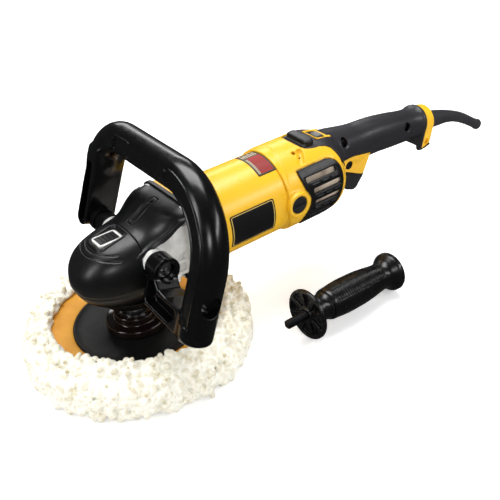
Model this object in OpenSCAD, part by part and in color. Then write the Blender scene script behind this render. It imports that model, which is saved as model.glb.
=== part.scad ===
// Rotary polisher with a bail handle, a loose side handle and a wool pad.
// Millimetres. Origin: centre of the pad's working face. +Z up the spindle,
// +X along the motor axis towards the rear handle, -Y the tool's left side.

/* [Pad] */
// Radius of the wool pad at half its height
pad_r = 117; // [112:1:118]
// Height of the wool pile
pad_h = 36; // [35:1:38]
// Radius of the amber backing disc
disc_r = 89.5; // [86:0.5:90]
// Radius of the black backing plate
plate_r = 65.5; // [60:0.5:68]

/* [Head] */
// Height of the motor axis above the pad's working face
axis_z = 115; // [115:1:115]
// How far the head cover reaches in front of the spindle
nose = 60; // [58:1:61]
// Half width of the head cover
head_half_w = 42; // [41.5:0.5:43]
// Teeth on the ring gear
ring_teeth = 35; // [35:35:35]
// Teeth on the pinion
pinion_teeth = 10; // [10:10:10]

/* [Motor] */
// Outer radius of the motor housing
motor_r = 44; // [44:0.5:45]
// Outer radius of the rear housing
rear_r = 46.5; // [46:0.5:47]
// Radius of the armature core
armature_r = 24.7; // [23:0.1:24.8]

/* [Bail handle] */
// Lean of the bail handle towards the rear, in degrees
bail_lean = 20; // [18:1:22]
// Radius of the bail handle's grip
bail_r = 16.5; // [15:0.5:17]
// Height of the top bar above the handle bolts
bail_h = 92; // [88:1:93]
// Distance of the side grip from the tool's middle
bail_side = 119; // [117:1:121]

/* [Rear handle] */
// Length from the spindle axis to the back of the end ring
handle_end = 415; // [413:1:417]
// Half width of the black saddle on the rear housing
saddle_half_w = 29; // [28:0.5:30]

/* [Side handle] */
// Length of the loose side handle's grip
grip_len = 125; // [120:1:128]
// Direction in which it lies, in degrees from +X
grip_turn = 1.2; // [0:0.1:5]

/* [Hidden] */
$fn = 96;
fine = 48;
coarse = 28;

// Spindle line, by height
disc_z = 24;
plate_z = 27;
hub_z = 30;
collar_z = 46;
lower_bearing_z = 66;
case_z = 65;
bearing_h = 11;
roof_z = 132.5;
cover_top_z = 140;
spindle_r = 7.5;
journal_r = 6;

// Bevel gears: both pitch cones meet where the spindle and motor axes cross
pinion_pitch_r = 9;
ring_pitch_r = pinion_pitch_r * ring_teeth / pinion_teeth;
cone_angle = atan(pinion_pitch_r / ring_pitch_r);
cone_len = sqrt(pow(pinion_pitch_r, 2) + pow(ring_pitch_r, 2));
tooth_len = 9;
tooth_up = 1.0;
tooth_down = 1.7;
tooth_share = 0.15;
lock_pin_at = 17;
lock_holes = 12;

// Motor line, by distance behind the spindle
flange_x = 50;
housing_x = 57;
rear_x = 170;
rear_end_x = 261;
front_bearing_x = 44;
front_bearing_r = 16;
flange_corner_r = 15;
screw_at = 31.5;
fan_x = 73;
core_x = 99;
core_end_x = 151;
stator_bore_r = 25.3;
stator_r = 40.2;
commutator_x = 168;
commutator_r = 14.5;
brush_x = 180;
rear_bearing_x = 196;
rear_bearing_r = 13;
shaft_r = 5;
shoulder_r = 27;

// Bail handle: its bolt line is across the tool
bolt_x = 10;
bolt_z = 120;
bolt_r = 4;
arm_y = 75;
arm_w = 18;
bend_r = 35;
bail_depth = 34;
boss_y = 42;

// End ring: where it starts, its middle above the motor axis, its radii, its lobe, its droop
ring_x = 399;
ring_z = 1.5;
ring_r = 20.5;
ring_r_back = 19.5;
ring_len = handle_end - ring_x - 2;
lobe_drop = 28;
tail_tilt = 12;

// Rear handle sections: distance behind spindle, middle above axis, half width, half height
HANDLE = [
    [236, 13, 26, 27.5], [250, 13, 26, 27.5], [266, 12.5, 25.5, 26], [282, 11.8, 23.6, 23.8],
    [298, 11.6, 21.4, 21.6], [314, 11.6, 20.5, 20.7], [330, 10.8, 20.3, 20.4], [346, 9, 20, 20],
    [362, 7, 19.2, 19.3], [374, 5.4, 18.4, 18.5], [388, 3.8, 18.2, 18.2]
];
wall = 3;
web_half_w = 16;
trigger_pin = [282, -23];
trigger_half_w = 9.5;
dial_x = 246;
dial_z = 33.5;
dial_r = 9;
bumper_x = 221;

// Strain relief: distance behind the spindle, height above the motor axis, radius
RELIEF = [
    [408, -1.5, 8.8], [420, -2.2, 8.7], [434, -4, 8.3], [448, -6.8, 7.6], [463, -11, 6.9],
    [478, -17, 6.3], [493, -24.6, 5.8], [505, -32, 5.5], [514, -38, 6.4], [519, -41.4, 7.4]
];

// Loose side handle: it lies on its flange and its end knob
grip_x = 136.8;
grip_y = -105.4;
grip_flange_r = 27.5;
grip_knob_r = 21.6;
stud_len = 26;

// ---- helpers ----

// Stands a shape's Z along the motor axis, starting at x
module along_x(x) translate([x, 0, axis_z]) rotate([0, 90, 0]) children();

module rod_x(x0, x1, r) along_x(x0) cylinder(h = x1 - x0, r = r);

module tube_x(x0, x1, r_out, r_in) along_x(x0) difference() {
    cylinder(h = x1 - x0, r = r_out);
    translate([0, 0, -1]) cylinder(h = x1 - x0 + 2, r = r_in);
}

// Stands a shape's Z along -Y, starting at distance y on the tool's left
module along_left(x, y, z) translate([x, -y, z]) rotate([90, 0, 0]) children();

module rod_y(x, z, y0, y1, r) along_left(x, y0, z) cylinder(h = y1 - y0, r = r);

module both_sides() {
    children();
    mirror([0, 1, 0]) children();
}

// A curved plate round the motor axis: a0 to a1 count up from the left side
module band(x0, x1, r0, r1, a0, a1)
    along_x(x0) rotate([0, 0, -90 - a1]) rotate_extrude(angle = a1 - a0)
        translate([r0, 0]) square([r1 - r0, x1 - x0]);

// A box whose middle in Y is y
module bar(x0, x1, y, w, z0, z1) translate([x0, y - w / 2, z0]) cube([x1 - x0, w, z1 - z0]);

// An upright ring of given profile
module lathe(points) rotate_extrude() polygon(points);

function arc(cx, cy, r, a0, a1, n) = [for (i = [0 : n]) let (a = a0 + (a1 - a0) * i / n)
    [cx + r * cos(a), cy + r * sin(a)]];

// An oval slice across X, for hulls
module slice_x(x, zc, hy, hz, t = 0.1) translate([x, 0, axis_z + zc]) scale([1, hy / hz, 1])
    rotate([0, 90, 0]) cylinder(h = t, r = hz, $fn = coarse);

// ---- pad and spindle ----

module wool_pad() color("ivory") lathe([
    [0, 0], [104, 0], [113, 4], [pad_r, 12], [pad_r, 22], [pad_r - 5, 31], [104, pad_h],
    [95, pad_h + 1], [disc_r + 1.5, pad_h - 1], [disc_r + 1.5, disc_z], [0, disc_z]]);

module backing_disc() color("goldenrod") lathe([
    [0, disc_z], [disc_r + 1.5, disc_z], [disc_r + 1, 31], [disc_r, 34], [disc_r - 3, 34.5],
    [plate_r + 0.5, 31], [plate_r, plate_z], [0, plate_z]]);

module backing_plate() color("dimgray") difference() {
    lathe([[0, plate_z], [plate_r, plate_z], [plate_r, 31], [plate_r - 1.5, 32],
        [plate_r - 6, 31], [34, hub_z], [0, hub_z]]);
    translate([0, 0, plate_z - 1]) cylinder(h = 5, r = spindle_r - 0.5);
}

module backing_hub() color("black") lathe([
    [spindle_r - 0.5, hub_z], [31, hub_z], [32, 33], [31.4, 36.5], [28, 39], [23, 40],
    [21.5, 41.5], [22.3, 44.5], [20.5, collar_z], [spindle_r - 0.5, collar_z]]);

module spindle() color("silver") difference() {
    union() {
        translate([0, 0, plate_z]) cylinder(h = collar_z - plate_z, r = spindle_r - 0.5);
        translate([0, 0, collar_z]) cylinder(h = 6, r = 12);
        translate([0, 0, 52]) cylinder(h = 6, r = 10);
        translate([0, 0, 58]) cylinder(h = 37, r = spindle_r);
        translate([0, 0, 58]) cylinder(h = 7.5, r = 9);
        translate([0, 0, 95]) cylinder(h = 17, r = 8.5);
        translate([0, 0, 112]) cylinder(h = 16, r = journal_r);
    }
    both_sides() bar(-13, 13, -12, 4, 47, 51);
}

module ring_gear() color("darkgray") {
    wedge = 360 / ring_teeth * tooth_share * 1.15;
    root = cone_angle + atan(tooth_down / cone_len);
    difference() {
        rotate_extrude() polygon([[8.5, 98], [12, 96], [29, 96],
            [ring_pitch_r, 102], [ring_pitch_r, axis_z - ring_pitch_r * tan(root)],
            [21, axis_z - 21 * tan(root)], [21, 103], [12, 103], [12, 110], [8.5, 110]]);
        for (i = [0 : lock_holes - 1]) rotate([0, 0, i * 360 / lock_holes])
            translate([lock_pin_at, 0, 90]) cylinder(h = 20, r = 3.4, $fn = fine);
    }
    for (i = [0 : ring_teeth - 1]) rotate([0, 0, (i + 0.5) * 360 / ring_teeth])
        bevel_tooth(cone_angle, wedge);
}

// One straight bevel tooth on the underside of a cone whose apex is on the motor axis
module bevel_tooth(tilt, wedge) {
    x0 = cone_len - tooth_len;
    translate([0, 0, axis_z]) rotate([0, tilt, 0]) translate([0, 0, -tooth_down - 0.2])
        linear_extrude(height = tooth_down + 0.2 + tooth_up) polygon([
            [x0, -x0 * tan(wedge)], [cone_len - 0.6, -(cone_len - 0.6) * tan(wedge)],
            [cone_len - 0.6, (cone_len - 0.6) * tan(wedge)], [x0, x0 * tan(wedge)]]);
}

module ball_set(count, at_r, ball_r) for (i = [0 : count - 1]) rotate([0, 0, i * 360 / count])
    translate([at_r, 0, 0]) sphere(r = ball_r, $fn = fine);

module spindle_bearing_inner() color("lightgray") {
    translate([0, 0, lower_bearing_z]) difference() {
        cylinder(h = bearing_h, r = 10.5);
        translate([0, 0, -1]) cylinder(h = bearing_h + 2, r = spindle_r);
    }
    translate([0, 0, lower_bearing_z + bearing_h / 2]) ball_set(9, 12.2, 2.6);
}

module spindle_bearing_outer() color("silver") translate([0, 0, lower_bearing_z]) difference() {
    cylinder(h = bearing_h, r = 17.5);
    translate([0, 0, -1]) cylinder(h = bearing_h + 2, r = 15.2);
}

module spindle_top_bush() color("peru") translate([0, 0, 116]) difference() {
    cylinder(h = 11, r = 9);
    translate([0, 0, -1]) cylinder(h = 13, r = journal_r + 0.05);
}

module bearing_plate() color("gray") difference() {
    union() {
        translate([0, 0, case_z]) cylinder(h = 12, r = 33.7);
        translate([0, 0, case_z - 2.5]) cylinder(h = 2.5, r = 34.5);
    }
    translate([0, 0, lower_bearing_z]) cylinder(h = 20, r = 17.5);
    translate([0, 0, 50]) cylinder(h = 20, r = 12.5);
    for (i = [0 : 3]) rotate([0, 0, 45 + i * 90]) translate([28, 0, 50]) cylinder(h = 40, r = 2);
}

module bearing_plate_screws() color("silver") for (i = [0 : 3]) rotate([0, 0, 45 + i * 90])
    translate([28, 0, 0]) {
        translate([0, 0, case_z - 2.5]) cylinder(h = 14.5, r = 2, $fn = fine);
        translate([0, 0, case_z - 4.5]) cylinder(h = 2, r = 3.6, $fn = fine);
    }

// ---- head ----

// The four flange screws' places, along the motor axis from x
module flange_screw_places(x) for (y = [-screw_at, screw_at]) for (z = [-screw_at, screw_at])
    translate([0, y, z]) along_x(x) children();

module gear_case() color("silver") difference() {
    union() {
        rotate_extrude() polygon([[0, case_z], [37, case_z], [37, 108], [29, 126], [24.5, roof_z],
            [0, roof_z]]);
        case_side(33);
        square_flange(flange_x, housing_x, 43.4);
        both_sides() rod_y(bolt_x, bolt_z, 30, boss_y, 12.5);
        lock_rim(138.8);
    }
    rotate_extrude() polygon([[0, 60], [33.7, 60], [33.7, 108], [24, 112], [0, 112]]);
    along_x(14) cylinder(h = 31, r = 11.6);
    along_x(front_bearing_x) cylinder(h = 10, r = front_bearing_r);
    along_x(53) cylinder(h = 5, r = 35);
    translate([0, 0, 116]) cylinder(h = 11, r = 9);
    translate([0, 0, 100]) cylinder(h = 28.5, r = journal_r + 1);
    translate([-lock_pin_at, 0, 100]) cylinder(h = 40, r = 3.05);
    both_sides() rod_y(bolt_x, bolt_z, 22, 50, bolt_r);
    flange_screw_places(flange_x - 1) cylinder(h = 10, r = 2.2);
    flange_screw_places(flange_x - 10) cylinder(h = 10, r = 4.7);
}

// Square flange with round corners, where the motor housing bolts on
module square_flange(x0, x1, half) {
    core = half - flange_corner_r;
    bar(x0, x1, 0, 2 * half, axis_z - core, axis_z + core);
    bar(x0, x1, 0, 2 * core, axis_z - half, axis_z + half);
    for (y = [-core, core]) for (z = [-core, core]) translate([0, y, z])
        rod_x(x0, x1, flange_corner_r);
}

// The case between head and motor flange: its top edge rises to the flange
SIDE_EDGE = [[-1, 12], [9, 15], [24, 21], [37, 30], [50, 37]];
module case_side(half) translate([0, half, axis_z]) rotate([90, 0, 0])
    linear_extrude(height = 2 * half) polygon(concat([[50, -30], [0, -30]],
        [for (p = SIDE_EDGE) [p[0], p[1] - 0.6]]));

// Raised rim that the lock button moves in
module lock_rim(top) difference() {
    bar(-29, -3, 0, 20, roof_z - 3, top);
    bar(-27, -5, 0, 16, roof_z, top + 1);
}

module gear_case_screws() color("dimgray") flange_screw_places(flange_x) {
    cylinder(h = 18, r = 2.2, $fn = fine);
    translate([0, 0, -4]) difference() {
        cylinder(h = 4, r = 4.4, $fn = fine);
        translate([0, 0, -1]) cylinder(h = 3, r = 2.2, $fn = 6);
    }
}

// Head cover sections: distance along X, half width, bottom, middle and top above the pad,
// squareness of the corners
COVER = concat(
    [for (i = [0 : 8]) let (t = 1 - i / 9, k = pow(1 - pow(t, 2.5), 0.45))
        [-nose * t, head_half_w * max(k, 0.16), 98 - 36 * max(k, 0.2), 98,
         98 + (cover_top_z - 98) * max(k, 0.2), 2.5]],
    [[0, head_half_w, 62, 98, cover_top_z, 2.6],
     [10, 42, 62, 101, cover_top_z + 3, 2.8], [20, 42, 62, 109, axis_z + 33, 3],
     [30, 43.5, 68, axis_z, axis_z + 40, 4], [40, 44.2, 71, axis_z, axis_z + 43.3, 5],
     [50, 44.8, 71, axis_z, axis_z + 44.8, 6], [housing_x, 44.8, 71, axis_z, axis_z + 44.8, 6]]);

function squash(v, p) = sign(v) * pow(abs(v), 2 / p);
function oval(w, down, up, p) = [for (i = [0 : coarse - 1]) let (a = 360 * i / coarse)
    [squash(sin(a), p) * (sin(a) > 0 ? up : down), squash(cos(a), p) * w]];

// Slices lie across X; the outline's first number is height above the section's middle
module cover_slice(c, inset) translate([c[0], 0, c[3]]) rotate([0, -90, 0])
    linear_extrude(height = 0.1) polygon(oval(c[1] - inset, c[3] - c[2] - inset,
        c[4] - c[3] - inset, c[5]));

module cover_form(inset) for (i = [0 : len(COVER) - 2]) hull() {
    shift = i == 0 ? [inset, 0, 0] : [0, 0, 0];
    translate(shift) cover_slice(COVER[i], min(inset, 1.5 + inset * i));
    cover_slice(COVER[i + 1], inset);
    if (inset > 0 && i == len(COVER) - 2) translate([5, 0, 0]) cover_slice(COVER[i + 1], inset);
}

module head_cover() color([0.12, 0.12, 0.13]) difference() {
    cover_form(0);
    cover_form(3);
    // The gear case, and the room for it
    rotate_extrude($fn = 60) polygon([[0, 50], [37.3, 50], [37.3, 108.2], [29.3, 126.2],
        [24.8, roof_z + 0.2], [0, roof_z + 0.2]]);
    case_side(33.3);
    bar(-1, 70, 0, 68, axis_z - 40, axis_z - 20);
    square_flange(flange_x - 4.3, 70, 43.7);
    translate([0, 0, 40]) cylinder(h = 30, r = 35, $fn = 60);
    both_sides() rod_y(bolt_x, bolt_z, 25, 60, 12.9);
    // Open sides and floor behind the spindle
    both_sides() translate([0, 60, 115]) rotate([90, 0, 0]) linear_extrude(height = 31)
        polygon(concat([[70, -60], [-1, -60]], SIDE_EDGE, [[70, 38]]));
    bar(18, 80, 0, 120, 40, axis_z - 30.2);
    bar(-30, -2, 0, 22, 120, 150);
}

module spindle_lock_button() color("black") difference() {
    bar(-26.5, -5.5, 0, 15, 136.2, 139.4);
    for (x = [-22, -18, -14, -10]) bar(x - 0.6, x + 0.6, 0, 11, 138.8, 141);
}

module spindle_lock_pin() color("silver") translate([-lock_pin_at, 0, 105])
    cylinder(h = 136.2 - 105, r = 3);

module spindle_lock_spring() color("gray") translate([-lock_pin_at, 0, roof_z])
    coil(136.2 - roof_z, 4.6, 0.45, 3);

// A coil spring: a six-sided wire swept up a helix
module coil(h, at_r, wire_r, turns) {
    n = 10 * turns;
    rings = [for (i = [0 : n]) let (a = 36 * i, z = wire_r + (h - 2 * wire_r) * i / n)
        [for (k = [0 : 5]) let (w = 60 * k)
            [(at_r + wire_r * cos(w)) * cos(a), (at_r + wire_r * cos(w)) * sin(a),
             z + wire_r * sin(w)]]];
    sides = [for (i = [0 : n - 1]) for (k = [0 : 5])
        [6 * i + k, 6 * i + 6 + k, 6 * i + 6 + (k + 1) % 6, 6 * i + (k + 1) % 6]];
    polyhedron([for (ring = rings) for (p = ring) p],
        concat([[0, 1, 2, 3, 4, 5]], sides, [[for (k = [5 : -1 : 0]) 6 * n + k]]));
}

// ---- bail handle: drawn in its own leaning plane, x across the tool, y up the plane ----

module in_bail_plane(front) translate([bolt_x, 0, bolt_z]) rotate([0, bail_lean, 0])
    rotate([90, 0, -90]) translate([0, 0, front]) children();

module bail_bar(from, to) {
    d = to - from;
    translate(from) rotate([0, 0, atan2(d[1], d[0])]) rotate([0, 90, 0])
        cylinder(h = norm(d), r = bail_r);
}

module bail_bend(centre, r, a0, a1) translate(centre) rotate([0, 0, a0])
    rotate_extrude(angle = a1 - a0) translate([r, 0]) circle(r = bail_r);

module bail_handle() color([0.07, 0.07, 0.07]) {
    side_r = 70;
    top_y = bail_side - side_r;
    half = bail_depth / 2;
    difference() {
        in_bail_plane(0) {
            // Across the plane, positive is the tool's left side
            bail_bar([-arm_y + bend_r, bail_h, 0], [top_y, bail_h, 0]);
            bail_bend([top_y, bail_h - side_r, 0], side_r, 0, 90);
            bail_bar([bail_side, bail_h - side_r, 0], [bail_side, -24, 0]);
            translate([bail_side, -24, 0]) sphere(r = bail_r);
            bail_bend([-arm_y + bend_r, bail_h - bend_r, 0], bend_r, 90, 180);
            translate([-arm_y - arm_w / 2, -6, -half]) cube([arm_w, bail_h - bend_r + 6, bail_depth]);
            translate([-arm_y, -6, -half]) cylinder(h = bail_depth, r = arm_w / 2);
            bracket(half);
        }
        // Bolt line: holes through both ends, a socket, and the way in through the grip
        rod_y(bolt_x, bolt_z, -arm_y - 20, -20, bolt_r);
        rod_y(bolt_x, bolt_z, 40, 150, bolt_r);
        rod_y(bolt_x, bolt_z, 48, 90, 9);
        rod_y(bolt_x, bolt_z, 95, 150, 10);
        rod_y(bolt_x, bolt_z, -arm_y - 20, -arm_y + 1, 8);
        // Hollow front faces
        in_bail_plane(half - 8) translate([-arm_y - arm_w / 2 + 3.5, -8, 0])
            cube([arm_w - 7, 66, 20]);
        in_bail_plane(half - 12) linear_extrude(height = 30)
            polygon([[53, -12], [64, -17], [98, -18], [100, -25], [93, -33], [54, -33]]);
    }
}

module bracket(half) {
    translate([0, 0, -half]) linear_extrude(height = 2 * half) polygon([[49, 2], [49, -33],
        [53, -37.5], [bail_side - 4, -39], [bail_side, -32], [bail_side - 8, -14], [74, -12],
        [66, 2]]);
    rotate([-90, 0, 0]) rotate([90, 0, 0]) rotate([0, 90, 0]) translate([0, 0, 44])
        cylinder(h = 18, r = 14.5);
}

module bail_bolts() color("silver") {
    bolt(22, 43 + 5, 8);
    mirror([0, 1, 0]) bolt(22, arm_y - 1, 7);
}

module bolt(tip, head, head_r) {
    rod_y(bolt_x, bolt_z, tip, head, bolt_r);
    difference() {
        rod_y(bolt_x, bolt_z, head, head + 8, head_r);
        along_left(bolt_x, head + 3, bolt_z) cylinder(h = 10, r = 3.6, $fn = 6);
    }
}

module bail_washers() color("dimgray") {
    washer(boss_y, 44);
    mirror([0, 1, 0]) for (i = [0 : 2])
        washer(boss_y + i * 8, boss_y + i * 8 + 8, i == 1 ? 11 : 12.5);
}

module washer(y0, y1, r = 12) difference() {
    rod_y(bolt_x, bolt_z, y0, y1, r);
    rod_y(bolt_x, bolt_z, y0 - 1, y1 + 1, bolt_r);
}

// ---- motor ----

module motor_housing() color("gold") difference() {
    union() {
        rod_x(housing_x, rear_x, motor_r);
        square_flange(housing_x, 62, 43.4);
        flange_screw_places(62) cylinder(h = 8, r = 5.5);
    }
    along_x(housing_x - 1) cylinder(h = 15, r = 35);
    along_x(70) cylinder(h = 110, r = stator_r);
    both_sides() rod_y(brush_x, axis_z, 30, 60, 14);
    flange_screw_places(housing_x - 1) cylinder(h = 12, r = 2.2);
}

// Outline of the rear housing about its own axis, from the front round the shoulder
REAR_OUTLINE = concat([[rear_r - 0.9, 0], [rear_r, 1.5], [rear_r, 30], [rear_r + 0.5, 35]],
    [for (p = arc(64, rear_r + 0.5 - shoulder_r, shoulder_r, 90, 5, 12)) [p[1], p[0]]]);

module rear_form(inset) along_x(rear_x) rotate_extrude() intersection() {
    polygon(concat([[0, 0]], [for (p = REAR_OUTLINE) [max(0, p[0] - inset), p[1] - inset]],
        [[0, rear_end_x - rear_x - inset]]));
    square([60, 200]);
}

// The part of the rear housing's top that belongs to the handle
module saddle_room(grow) translate([0, 0, axis_z + 11]) linear_extrude(height = 60)
    polygon([[207 - grow, -18], [214 - grow, -saddle_half_w - grow], [280, -saddle_half_w - grow],
        [280, saddle_half_w + grow], [214 - grow, saddle_half_w + grow], [207 - grow, 18]]);

module rear_housing() color("gold") difference() {
    union() {
        difference() {
            rear_form(0);
            along_x(rear_x - 1) cylinder(h = 26, r = 43);
            along_x(206) cylinder(h = 46, r = 43);
            along_x(250) cylinder(h = 40, r = 17);
            both_sides() band(192, 236, 42, 60, -47, 40);
        }
        both_sides() rod_y(brush_x, axis_z, 36, 49.5, 14);
    }
    both_sides() rod_y(brush_x, axis_z, 30, 60, 9.3);
    along_x(190) cylinder(h = 30, r = rear_bearing_r);
    for (a = [0 : 60 : 300]) along_x(190) rotate([0, 0, a + 30]) translate([28, 0, 0])
        cylinder(h = 30, r = 8);
    saddle_room(0);
}

module stator_core() color("slategray") difference() {
    tube_x(core_x - 1, core_end_x + 1, stator_r, stator_bore_r);
    for (s = [-1, 1]) bar(core_x - 5, core_end_x + 5, s * 28, 16, axis_z - 15, axis_z + 15);
}

module field_windings() color("peru") both_sides() {
    bar(core_x - 13, core_end_x + 13, -29, 8, axis_z - 14, axis_z + 14);
    band(core_x - 12.5, core_x - 1.5, 27.5, 37, -52, 52);
    band(core_end_x + 1.5, core_end_x + 12.5, 27.5, 37, -52, 52);
}

module armature_shaft() color("silver") {
    rod_x(26, 207, shaft_r);
    rod_x(54.5, fan_x, 8);
}

module armature_core() color("slategray") difference() {
    rod_x(core_x, core_end_x, armature_r);
    along_x(core_x - 1) cylinder(h = 60, r = shaft_r);
    for (i = [0 : 11]) along_x(core_x - 1) rotate([0, 0, i * 30]) translate([22.4, -0.9, 0])
        cube([4, 1.8, 60]);
}

module armature_windings() color("peru") {
    tube_x(core_x - 11, core_x, 20, shaft_r);
    tube_x(core_end_x, core_end_x + 12, 20, shaft_r);
}

module commutator() color("chocolate") difference() {
    tube_x(commutator_x, commutator_x + 24, commutator_r, shaft_r);
    for (i = [0 : 23]) along_x(commutator_x - 1) rotate([0, 0, i * 15])
        translate([commutator_r - 0.8, -0.25, 0]) cube([2, 0.5, 23]);
}

module pinion() color("darkgray") {
    root = cone_angle - atan(tooth_down / cone_len);
    wedge = 360 / pinion_teeth * tooth_share * tan(cone_angle) * 1.15;
    x0 = (cone_len - tooth_len) * cos(cone_angle);
    along_x(0) difference() {
        rotate_extrude() polygon([[0, x0 + 0.3], [x0 * tan(root), x0 + 0.3],
            [ring_pitch_r * tan(root), ring_pitch_r], [8, 33], [8, 43], [0, 43]]);
        translate([0, 0, 26]) cylinder(h = 20, r = shaft_r);
    }
    for (i = [0 : pinion_teeth - 1])
        translate([0, 0, axis_z]) rotate([i * 360 / pinion_teeth, 0, 0]) translate([0, 0, -axis_z])
            pinion_tooth(wedge);
}

// The pinion's tooth meets the ring gear's cone from above
module pinion_tooth(wedge) {
    x0 = cone_len - tooth_len;
    x1 = cone_len - 0.6;
    translate([0, 0, axis_z]) rotate([0, cone_angle, 0]) translate([0, 0, -tooth_up])
        linear_extrude(height = tooth_up + tooth_down + 0.3) polygon([
            [x0, -x0 * tan(wedge)], [x1, -x1 * tan(wedge)], [x1, x1 * tan(wedge)],
            [x0, x0 * tan(wedge)]]);
}

module cooling_fan() color("dimgray") {
    tube_x(fan_x, fan_x + 12, 9, shaft_r);
    difference() {
        tube_x(fan_x, fan_x + 2, 36, shaft_r);
        along_x(fan_x - 1) cylinder(h = 4, r = 8.9);
    }
    for (i = [0 : 10]) along_x(fan_x + 2) rotate([0, 0, i * 360 / 11])
        translate([14, 0, 0]) rotate([0, 0, 25]) translate([0, -0.8, 0]) cube([20, 1.6, 9]);
}

module motor_bearing_inners() color("lightgray") {
    tube_x(front_bearing_x, 54, 8, shaft_r);
    along_x(49) ball_set(8, 10.2, 2.8);
    tube_x(rear_bearing_x, 204, 6.6, shaft_r);
    along_x(200) ball_set(8, 8.4, 2.3);
}

module front_bearing_outer() color("silver") tube_x(front_bearing_x, 54, front_bearing_r, 13.4);

module rear_bearing_outer() color("silver") tube_x(rear_bearing_x, 204, rear_bearing_r, 11.1);

module brush_holders() color("darkgoldenrod") both_sides() difference() {
    rod_y(brush_x, axis_z, 18, 36, 6.5);
    bar(brush_x - 4, brush_x + 4, -27, 40, axis_z - 4, axis_z + 4);
}

module carbon_brushes() color("black") both_sides()
    bar(brush_x - 3.9, brush_x + 3.9, -22.5, 15, axis_z - 3.9, axis_z + 3.9);

module brush_springs() color("gray") both_sides() along_left(brush_x, 30, axis_z)
    coil(10, 2.8, 0.4, 4);

module brush_caps() color("black") both_sides() difference() {
    rod_y(brush_x, axis_z, 40, 48.5, 9.3);
    bar(brush_x - 7, brush_x + 7, -50, 4, axis_z - 1.2, axis_z + 1.2);
}

// ---- vents and labels ----

module vent_cover() difference() {
    union() {
        band(186, 238, rear_r + 0.5, rear_r + 2.2, -51, 44);
        band(192, 236, 44, rear_r + 0.6, -47, 40);
    }
    rod_y(brush_x, axis_z, 30, 60, 15);
    for (a = [-38, -12, 14, 36]) vent_slot(a, 8, 196 + abs(a) * 0.1, 232);
    for (a = [-26, 1, 25]) vent_slot(a, 2, 202, 230);
}

// A slot through the cover at angle a, of a given height
module vent_slot(a, h, x0, x1) translate([0, 0, axis_z]) rotate([-a, 0, 0])
    translate([x0, -60, -h / 2]) cube([x1 - x0, 25, h]);

module vent_cover_left() color([0.15, 0.15, 0.15]) vent_cover();

module vent_cover_right() color([0.15, 0.15, 0.15]) mirror([0, 1, 0]) vent_cover();

module vent_meshes() color("tan") both_sides() difference() {
    band(193, 236, 43.2, 44, -46, 39);
    rod_y(brush_x, axis_z, 30, 60, 17);
}

module name_plates() color("black") both_sides() band(96, 151, motor_r, motor_r + 0.5, -22, 22);

module rating_label() color("firebrick") band(146, 169, motor_r, motor_r + 0.4, 55, 117);

// ---- rear handle ----

// Frame of the end ring: Z runs back along the drooping tail
module in_tail(z) translate([ring_x, 0, axis_z + ring_z]) rotate([0, 90 + tail_tilt, 0])
    translate([0, 0, z]) children();

module tail_disc(z, r) in_tail(z) cylinder(h = 0.1, r = r, $fn = coarse);

module handle_form(inset) {
    for (i = [0 : len(HANDLE) - 2]) hull() {
        a = HANDLE[i];
        b = HANDLE[i + 1];
        slice_x(a[0], a[1], a[2] - inset, a[3] - inset);
        slice_x(b[0] - 0.1, b[1], b[2] - inset, b[3] - inset);
    }
    last = HANDLE[len(HANDLE) - 1];
    hull() {
        slice_x(last[0] - 0.1, last[1], last[2] - inset, last[3] - inset);
        tail_disc(-6, ring_r - 1.2 - inset);
    }
    hull() {
        tail_disc(-6, ring_r - 1.2 - inset);
        tail_disc(-0.1 - inset, ring_r - inset);
    }
}

module handle_shell() difference() {
    union() {
        difference() {
            handle_form(0);
            handle_form(wall);
            rear_form(0);
        }
        // The saddle over the rear housing
        difference() {
            intersection() {
                union() {
                    rear_form(0);
                    handle_form(0);
                }
                saddle_room(0);
            }
            intersection() {
                union() {
                    rear_form(4);
                    handle_form(wall);
                }
                translate([205, -60, 0]) cube([220, 120, 300]);
            }
        }
        intersection() {
            handle_form(1);
            handle_screw_lines(6.8, 30);
        }
        // Rear flange with its feet
        in_tail(-3.5) linear_extrude(height = 3.5) lobe();
    }
    in_tail(-14) cylinder(h = 30, r = 15);
    bar(230, 268, 0, 20, axis_z + 25, axis_z + 60);
    bar(bumper_x - 6, bumper_x + 6, -1, 37, axis_z + 40, axis_z + 60);
    web_form(0);
    bar(262, 330, 0, 26, axis_z - 30, axis_z);
    handle_screw_lines(3.45, 30);
    rod_y(274, axis_z - 1, 10, 40, 5.6);
    both_sides() translate([0, -15, 0]) handle_screw_heads();
}

// Both handle screws run across the handle
module handle_screw_lines(r, reach) {
    rod_y(270, axis_z + 27, -reach, reach, r, $fn = coarse);
    rod_y(370, axis_z + 12, -reach, reach, r, $fn = coarse);
}

// Recesses for their heads, in the left and right faces
module handle_screw_heads() {
    rod_y(270, axis_z + 27, 0, 20, 4.6, $fn = coarse);
    rod_y(370, axis_z + 12, -2, 20, 4.6, $fn = coarse);
}

module handle_shell_left() color([0.2, 0.2, 0.21]) intersection() {
    handle_shell();
    translate([150, -80, 0]) cube([300, 80, 300]);
}

module handle_shell_right() color([0.2, 0.2, 0.21]) intersection() {
    handle_shell();
    translate([150, 0, 0]) cube([300, 80, 300]);
}

module handle_screws() color("silver") {
    rod_y(270, axis_z + 27, -15, 15, 3.4);
    rod_y(370, axis_z + 12, -13, 13, 3.4);
}

// The yellow collar under the handle that guards the trigger
module web_form(inset) translate([0, web_half_w - inset, axis_z]) rotate([90, 0, 0])
    linear_extrude(height = 2 * (web_half_w - inset)) polygon([[rear_end_x, 11], [268, 11.5],
        [314, 0], [303, -22], [299, -22.5], [272, -10], [rear_end_x, -10]]);

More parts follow.
